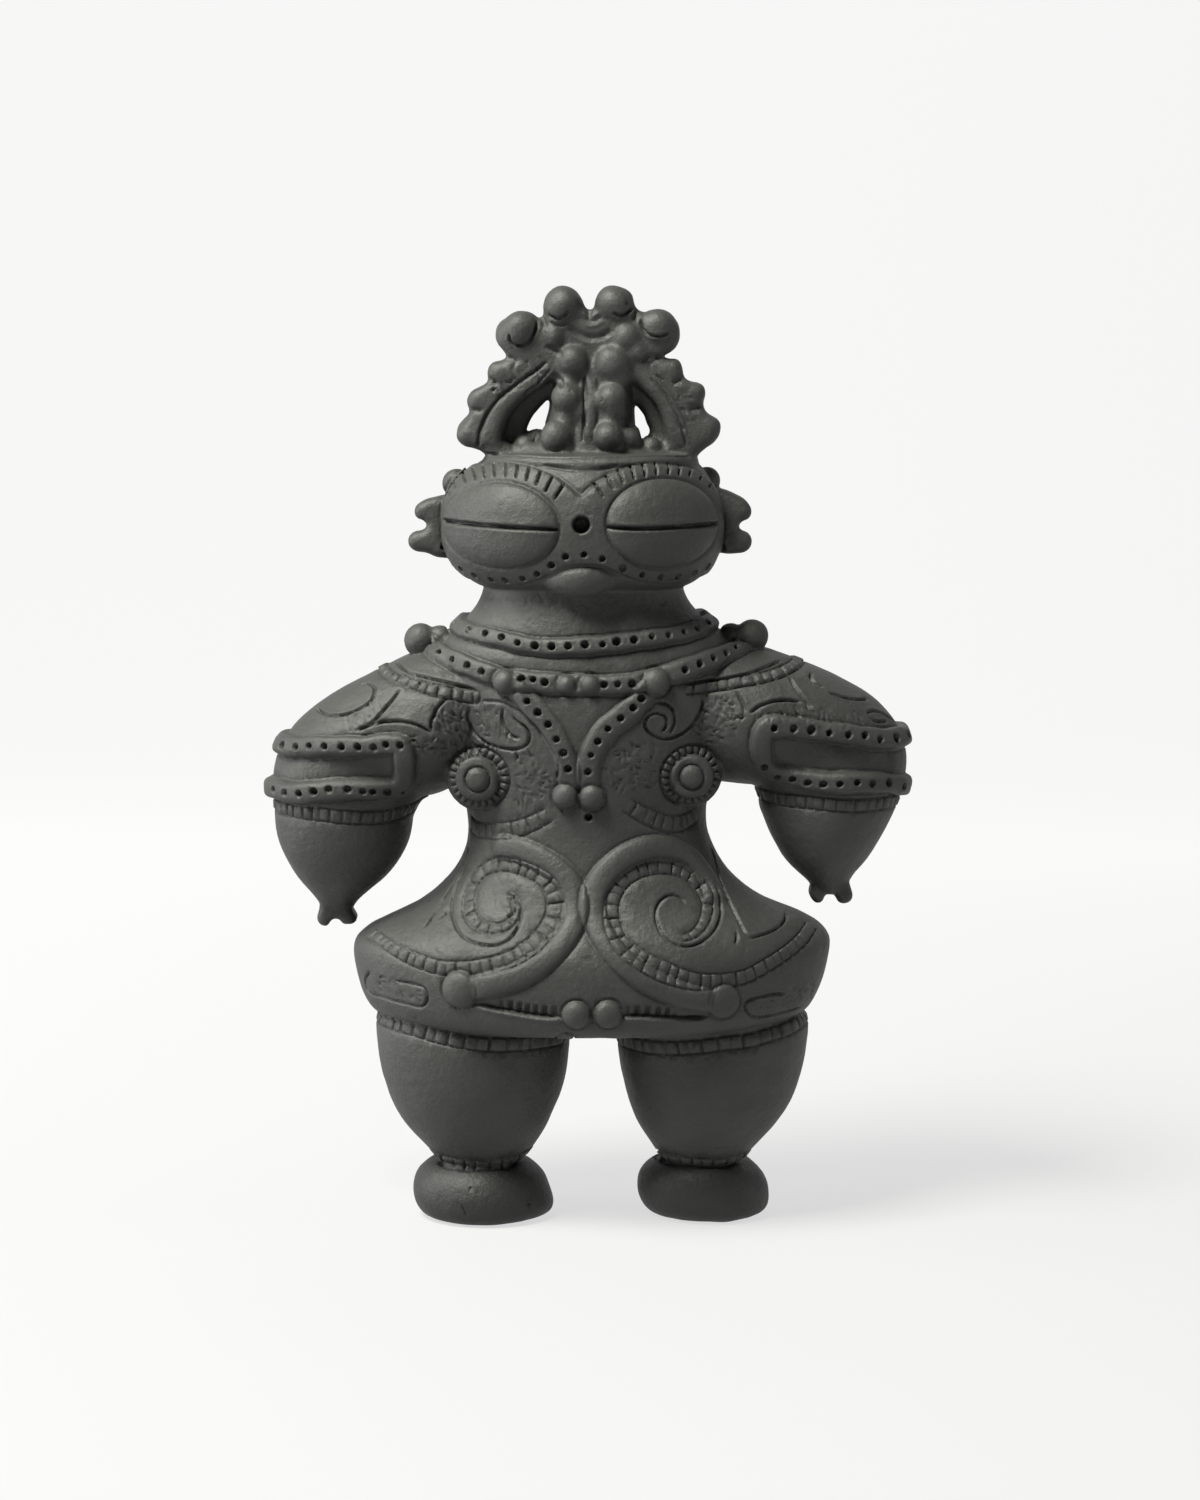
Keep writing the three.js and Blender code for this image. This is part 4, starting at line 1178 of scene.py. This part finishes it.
FOOT_CRACKS = [
    [(461, 1203), (464, 1210), (467, 1218)],
    [(526, 1206), (530, 1203), (529, 1210)],
    [(468, 1191), (471, 1187), (469, 1194)],
]


def carve_legs():
    for line in LEG_TAPES:
        tape(girdle(laid(line)), (2.2,), 0.3, 5.2, 1.5, 1.0, 0.8)
    for line in ANKLE_RINGS:
        tape(girdle(laid(line)), (1.7,), 0.3, 4.6, 1.7, 1.3, 0.6)
    for line in FOOT_CRACKS:
        cut(laid(line), 0.35, 0.8, 0.1, 1.5)


# The crown's carving

CROWN_ARCHES = [
    [(491, 449), (494, 430), (504, 411), (519, 396), (535, 385), (549, 376)],
    [(642, 378), (656, 392), (668, 410), (676, 430), (678, 449)],
]
# Cut lines: their points, width and depth.
CROWN_LINES = [
    ([(478, 447), (480.5, 430), (489, 411.5), (502, 396), (518, 383.5), (533, 373), (546, 362)], 0.8, 1.3),
    ([(650, 377), (664, 393), (677, 414), (683.5, 434), (686, 447)], 0.7, 1.0),
    ([(509.2, 334), (510.5, 342), (517, 345.9), (526, 344.6), (532.9, 338), (536.4, 328), (536.8, 321)], 0.75, 1.9),
    ([(641, 319), (643.2, 329.4), (650.5, 336), (661.7, 337.2), (670.3, 332.5)], 0.7, 1.5),
    ([(548.5, 314.6), (555, 318.4), (563, 318), (569.5, 311.5)], 0.75, 1.9),
    ([(550, 321), (560, 325.8), (570, 322.6)], 0.6, 0.7),
    ([(613, 312), (618, 315.4), (625, 313.5), (633, 308.5)], 0.75, 1.9),
    ([(625.5, 301), (626.6, 305.5)], 0.8, 1.3),
    ([(584.3, 374), (584.6, 398), (584.2, 421), (583, 443)], 0.8, 1.1),
    ([(536, 383), (547, 373.5), (551.5, 366)], 0.5, 1.0),
    ([(525, 395), (527, 390), (541, 381)], 0.45, 0.9),
    ([(534, 442), (537.5, 432)], 0.4, 0.7),
    ([(599, 402), (602.5, 400.5), (601, 396)], 0.45, 0.8),
    ([(655, 373), (661, 379), (666, 380.5)], 0.4, 0.6),
    ([(486, 453.5), (535, 456.8), (590, 457.6), (640, 456.2), (690, 456.5)], 0.7, 1.2),
    ([(568, 326), (578, 333), (590, 338), (603, 336), (612, 329)], 1.7, 0.9),
    ([(578, 316), (590, 322), (602, 316)], 1.5, 0.8),
    ([(545, 347), (556, 350), (562, 357)], 1.3, 0.9),
    ([(552, 372), (560, 380), (562, 388)], 1.3, 0.9),
    ([(640, 362), (650, 356), (662, 357)], 1.2, 0.9),
]
CROWN_VALLEYS = [
    [(488.5, 379), (499, 384)], [(470.5, 409.5), (483, 411)], [(507, 357), (520, 362)],
    [(662, 356.5), (650, 362)], [(682.8, 378), (672, 384)], [(703, 406), (688, 410)],
    [(589, 309), (589, 322)], [(543, 318), (545, 328)], [(637, 310), (634, 322)],
]


def carve_crown():
    for line in CROWN_ARCHES:
        for arch in (laid(line), behind(laid(line))):
            roll(arch, 3.2, 1.2, 0, 5)
    roll(laid([(591, 377), (593, 400), (590.5, 424), (586.5, 443)]), 1.7, 0.9, 0.1, 3)
    for line in CROWN_VALLEYS:
        for valley in (laid(line), behind(laid(line))):
            cut(valley, 1.6, 1.1, 0, 1.2)
    for line, wide, deep in CROWN_LINES:
        laid_line = laid(line)
        cut(laid_line, wide, deep, 0.2, 1.2)
        cut(behind(laid_line), wide, deep, 0.2, 1.2)


# Marks of the hand and the tool all over

TOOLED_PATCHES = [
    ([(376, 690), (398, 690), (372, 722), (350, 730), (330, 722), (360, 712)], 90, 40, 25, 0.4),
    ([(436, 706), (466, 702), (466, 728), (500, 752), (470, 756), (430, 738)], 220, 60, 30, 0.6),
    ([(350, 728), (436, 738), (470, 750), (455, 762), (420, 752), (408, 738), (352, 736)], 160, 10, 40, 0.5),
    ([(478, 704), (500, 704), (512, 742), (492, 740), (474, 726)], 70, 80, 30, 0.5),
    ([(506, 748), (530, 750), (552, 784), (530, 812), (512, 800), (520, 766)], 120, 60, 50, 0.5),
    ([(704, 700), (738, 696), (744, 716), (730, 745), (700, 742), (690, 730)], 170, 30, 60, 0.45),
    ([(750, 716), (800, 704), (860, 712), (868, 730), (800, 722), (762, 722)], 170, 70, 25, 0.35),
    ([(620, 745), (650, 742), (668, 752), (655, 790), (612, 790), (600, 770)], 130, 50, 60, 0.45),
    ([(392, 922), (440, 916), (470, 940), (450, 958), (420, 950), (398, 934)], 70, 65, 12, 0.22),
    ([(372, 974), (424, 990), (420, 1003), (372, 990)], 50, 10, 50, 0.35),
    ([(490, 892), (512, 900), (508, 914), (490, 912)], 12, 60, 12, 0.22),
    ([(750, 1000), (790, 996), (820, 978), (815, 1000), (760, 1014)], 90, 20, 50, 0.4),
    ([(500, 366), (545, 352), (552, 372), (520, 388), (500, 400), (480, 400)], 110, 30, 50, 0.45),
    ([(640, 360), (675, 366), (695, 400), (700, 430), (680, 430), (660, 390)], 80, 40, 60, 0.35),
]
PITS = 260
SCRATCHES = 90


def carve_marks():
    for polygon, count, angle, spread, deep in TOOLED_PATCHES:
        tooled(polygon, count, angle, spread, deep)
    count = len(skin.at)
    for number in random.integers(0, count, PITS):
        dent(skin.at[number], skin.facing[number], 0, 0.45, 0.4, 0.25 + 0.3 * random.random())
    for number in random.integers(0, count, SCRATCHES):
        turn = random.uniform(0, math.pi)
        dent(skin.at[number], skin.facing[number], turn, random.uniform(1.2, 3), 0.3, 0.22)
    skin.lift += 0.3 * lumps(skin.at, 13, 1) + 0.12 * lumps(skin.at, 5, 2)
    skin.lift += 0.5 * lumps(skin.at, 6.5, 3) * ease(skin.at[:, 2], CROWN_FROM * MM, (CROWN_FROM + 8) * MM)


carve_head()
carve_collars()
carve_arms()
carve_breasts()
carve_belly()
carve_legs()
carve_crown()
carve_marks()

carved = skin.at + skin.facing * (skin.lift * MM)[:, None]
carved[:, 2] = np.maximum(carved[:, 2], 0)
clay_piece.data.vertices.foreach_set("co", carved.astype(np.float32).ravel())
clay_piece.data.update()


def thinned(piece):
    """Settles the carving a little, and leaves fewer triangles where the clay is smooth."""
    begin()
    piece.select_set(True)
    bpy.context.view_layer.objects.active = piece
    share = MOST_TRIANGLES / (2 * len(piece.data.polygons))
    settled = ("SMOOTH", {"factor": 0.3, "iterations": 1})
    fewer = ("DECIMATE", {"ratio": min(share, 1)})
    piece = finish_form("dogu_clay", settled, fewer)
    bpy.ops.object.shade_smooth()
    return piece


clay_piece = thinned(clay_piece)


# Black clay

FEET_PAINTED_SHADE = 0.5  # painted shade: the feet are darkened to this share of the clay's colour, standing in for the shade under the legs and skirt


def black_clay():
    """Dark grey clay, smoothed by hand: a fine grain, faint cloudiness and a low sheen, with painted shade on the feet.
    """
    material = bpy.data.materials.new("black_clay")
    material.use_nodes = True
    nodes, links = material.node_tree.nodes, material.node_tree.links
    shader = nodes["Principled BSDF"]
    shader.inputs["Specular IOR Level"].default_value = 0.43
    coordinates = nodes.new("ShaderNodeTexCoord")

    def noise(scale, detail, rough=0.5):
        node = nodes.new("ShaderNodeTexNoise")
        node.inputs["Scale"].default_value = scale
        node.inputs["Detail"].default_value = detail
        node.inputs["Roughness"].default_value = rough
        links.new(coordinates.outputs["Object"], node.inputs["Vector"])
        return node.outputs["Fac"]

    def ramp(source, stops):
        node = nodes.new("ShaderNodeValToRGB")
        links.new(source, node.inputs["Fac"])
        elements = node.color_ramp.elements
        for element, (at, shade) in zip(elements, (stops[0], stops[-1])):
            element.position = at
            element.color = (*shade, 1)
        return node.outputs["Color"]

    cloud = ramp(noise(28, 5, 0.6), [(0.3, (0.03, 0.0304, 0.0284)), (0.72, (0.041, 0.0415, 0.0388))])
    # Painted shade: the colour darkens from 28 mm down to 16 mm, over the feet, for the shade that the legs and skirt
    # throw on them.
    place_on_clay = nodes.new("ShaderNodeSeparateXYZ")
    links.new(coordinates.outputs["Object"], place_on_clay.inputs["Vector"])
    low = nodes.new("ShaderNodeMapRange")
    low.inputs["From Min"].default_value = 0.016
    low.inputs["From Max"].default_value = 0.028
    low.inputs["To Min"].default_value = FEET_PAINTED_SHADE
    low.inputs["To Max"].default_value = 1
    links.new(place_on_clay.outputs["Z"], low.inputs["Value"])
    colour_with_painted_shade = nodes.new("ShaderNodeVectorMath")
    colour_with_painted_shade.operation = "SCALE"
    links.new(cloud, colour_with_painted_shade.inputs["Vector"])
    links.new(low.outputs["Result"], colour_with_painted_shade.inputs["Scale"])
    links.new(colour_with_painted_shade.outputs["Vector"], shader.inputs["Base Color"])
    rough = ramp(noise(90, 4, 0.6), [(0.25, (0.48, 0.48, 0.48)), (0.75, (0.61, 0.61, 0.61))])
    links.new(rough, shader.inputs["Roughness"])
    fine = nodes.new("ShaderNodeBump")
    fine.inputs["Strength"].default_value = 0.34
    fine.inputs["Distance"].default_value = 0.0004
    links.new(noise(1500, 4, 0.65), fine.inputs["Height"])
    coarse = nodes.new("ShaderNodeBump")
    coarse.inputs["Strength"].default_value = 0.42
    coarse.inputs["Distance"].default_value = 0.0012
    links.new(noise(330, 5, 0.6), coarse.inputs["Height"])
    links.new(coarse.outputs["Normal"], fine.inputs["Normal"])
    links.new(fine.outputs["Normal"], shader.inputs["Normal"])
    return material


clay_piece.name = "dogu_clay"
clay_piece.data.materials.clear()
clay_piece.data.materials.append(black_clay())
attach(clay_piece, "root")
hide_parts("dogu")


# Studio

FLOOR_SHADE = 0.12
# The paper glows with painted light, more on the wall than on the floor, so shadows on it stay pale.
FLOOR_GLOW = 0.65
WALL_GLOW = 0.81
PAPER_LIGHT = 0.52  # what the figure gets of that glow
AIR_GLOW = 0.9  # the air beyond the stage, seen from behind the figure
AIR_LIGHT = 0.06  # what the figure gets of that glow
WALL_AWAY = 1.3
STAGE_HALF_WIDE = 4.0
STAGE_NEAR = 3.0
STAGE_TALL = 3.5
STAGE_BEND = 0.7


def studio_stage():
    """A pale floor that curves up into a wall behind the figure."""
    begin()
    bpy.ops.mesh.primitive_plane_add(size=2, location=(0, 0, 0))
    bpy.ops.object.mode_set(mode="EDIT")
    bpy.ops.transform.resize(value=(STAGE_HALF_WIDE, (STAGE_NEAR + WALL_AWAY) / 2, 1), center_override=(0, 0, 0))
    bpy.ops.transform.translate(value=(0, (WALL_AWAY - STAGE_NEAR) / 2, 0))
    bpy.ops.mesh.select_all(action="DESELECT")
    bpy.ops.object.mode_set(mode="OBJECT")
    floor = bpy.context.object
    for edge in floor.data.edges:
        edge.select = all(floor.data.vertices[v].co.y > WALL_AWAY - 0.01 for v in edge.vertices)
    bpy.ops.object.mode_set(mode="EDIT")
    bpy.ops.mesh.select_mode(type="EDGE")
    for step in range(8):
        turn = (step + 0.5) * math.pi / 16
        reach = STAGE_BEND * math.pi / 16
        bpy.ops.mesh.extrude_region_move(
            TRANSFORM_OT_translate={"value": (0, reach * math.cos(turn), reach * math.sin(turn))}
        )
    bpy.ops.mesh.extrude_region_move(TRANSFORM_OT_translate={"value": (0, 0, STAGE_TALL)})
    bpy.ops.mesh.select_all(action="SELECT")
    bpy.ops.mesh.normals_make_consistent(inside=False)
    bpy.ops.object.mode_set(mode="OBJECT")
    floor = finish_form("stage")
    bpy.ops.object.shade_smooth()
    paper = bpy.data.materials.new("studio_paper")
    paper.use_nodes = True
    nodes, links = paper.node_tree.nodes, paper.node_tree.links
    shader = nodes["Principled BSDF"]
    shader.inputs["Base Color"].default_value = (FLOOR_SHADE, FLOOR_SHADE, FLOOR_SHADE, 1)
    shader.inputs["Emission Color"].default_value = (1, 1, 1, 1)
    ray = nodes.new("ShaderNodeLightPath")
    spot = nodes.new("ShaderNodeNewGeometry")
    split = nodes.new("ShaderNodeSeparateXYZ")
    rise = nodes.new("ShaderNodeMapRange")
    glow = nodes.new("ShaderNodeMix")
    rise.inputs["From Min"].default_value = 0
    rise.inputs["From Max"].default_value = 0.9
    rise.inputs["To Min"].default_value = FLOOR_GLOW
    rise.inputs["To Max"].default_value = WALL_GLOW
    glow.inputs["A"].default_value = PAPER_LIGHT
    links.new(spot.outputs["Position"], split.inputs["Vector"])
    links.new(split.outputs["Y"], rise.inputs["Value"])
    links.new(ray.outputs["Is Camera Ray"], glow.inputs["Factor"])
    links.new(rise.outputs["Result"], glow.inputs["B"])
    links.new(glow.outputs["Result"], shader.inputs["Emission Strength"])
    shader.inputs["Roughness"].default_value = 0.9
    shader.inputs["Specular IOR Level"].default_value = 0.2
    floor.data.materials.append(paper)


def soft_light(name, where, towards, size, power, colour=(1, 1, 1)):
    data = bpy.data.lights.new(name, "AREA")
    data.shape = "RECTANGLE"
    data.size, data.size_y = size
    data.energy = power
    data.color = colour
    lamp = bpy.data.objects.new(name, data)
    bpy.context.scene.collection.objects.link(lamp)
    lamp.location = where
    lamp.rotation_euler = (Vector(towards) - Vector(where)).to_track_quat("-Z", "Y").to_euler()


def studio_camera():
    data = bpy.data.cameras.new("camera")
    data.sensor_width = SENSOR
    data.lens = FOCAL_PIXELS * SENSOR / PHOTO_TALL
    data.clip_start = 0.05
    data.clip_end = 50
    camera = bpy.data.objects.new("camera", data)
    bpy.context.scene.collection.objects.link(camera)
    camera.location = CAMERA
    camera.rotation_euler = (math.pi / 2 - CAMERA_PITCH, 0, 0)
    bpy.context.scene.camera = camera


def studio_air():
    world = bpy.data.worlds.new("studio")
    world.use_nodes = True
    nodes, links = world.node_tree.nodes, world.node_tree.links
    background = nodes["Background"]
    background.inputs["Color"].default_value = (1, 1, 1, 1)
    ray = nodes.new("ShaderNodeLightPath")
    glow = nodes.new("ShaderNodeMix")
    glow.inputs["A"].default_value = AIR_LIGHT
    glow.inputs["B"].default_value = AIR_GLOW
    links.new(ray.outputs["Is Camera Ray"], glow.inputs["Factor"])
    links.new(glow.outputs["Result"], background.inputs["Strength"])
    bpy.context.scene.world = world
    bpy.context.scene.view_settings.view_transform = "Standard"


studio_stage()
studio_camera()
studio_air()
soft_light("key", (-0.69, -0.575, 1.5), (0, 0, 0.17), (0.6, 0.6), 60, (1, 1, 0.92))
soft_light("left_card", (-1.47, -0.05, 0.48), (0, 0, 0.17), (0.8, 1), 18)
soft_light("right_card", (1.46, -0.26, 0.38), (0, 0, 0.17), (1, 1), 3)
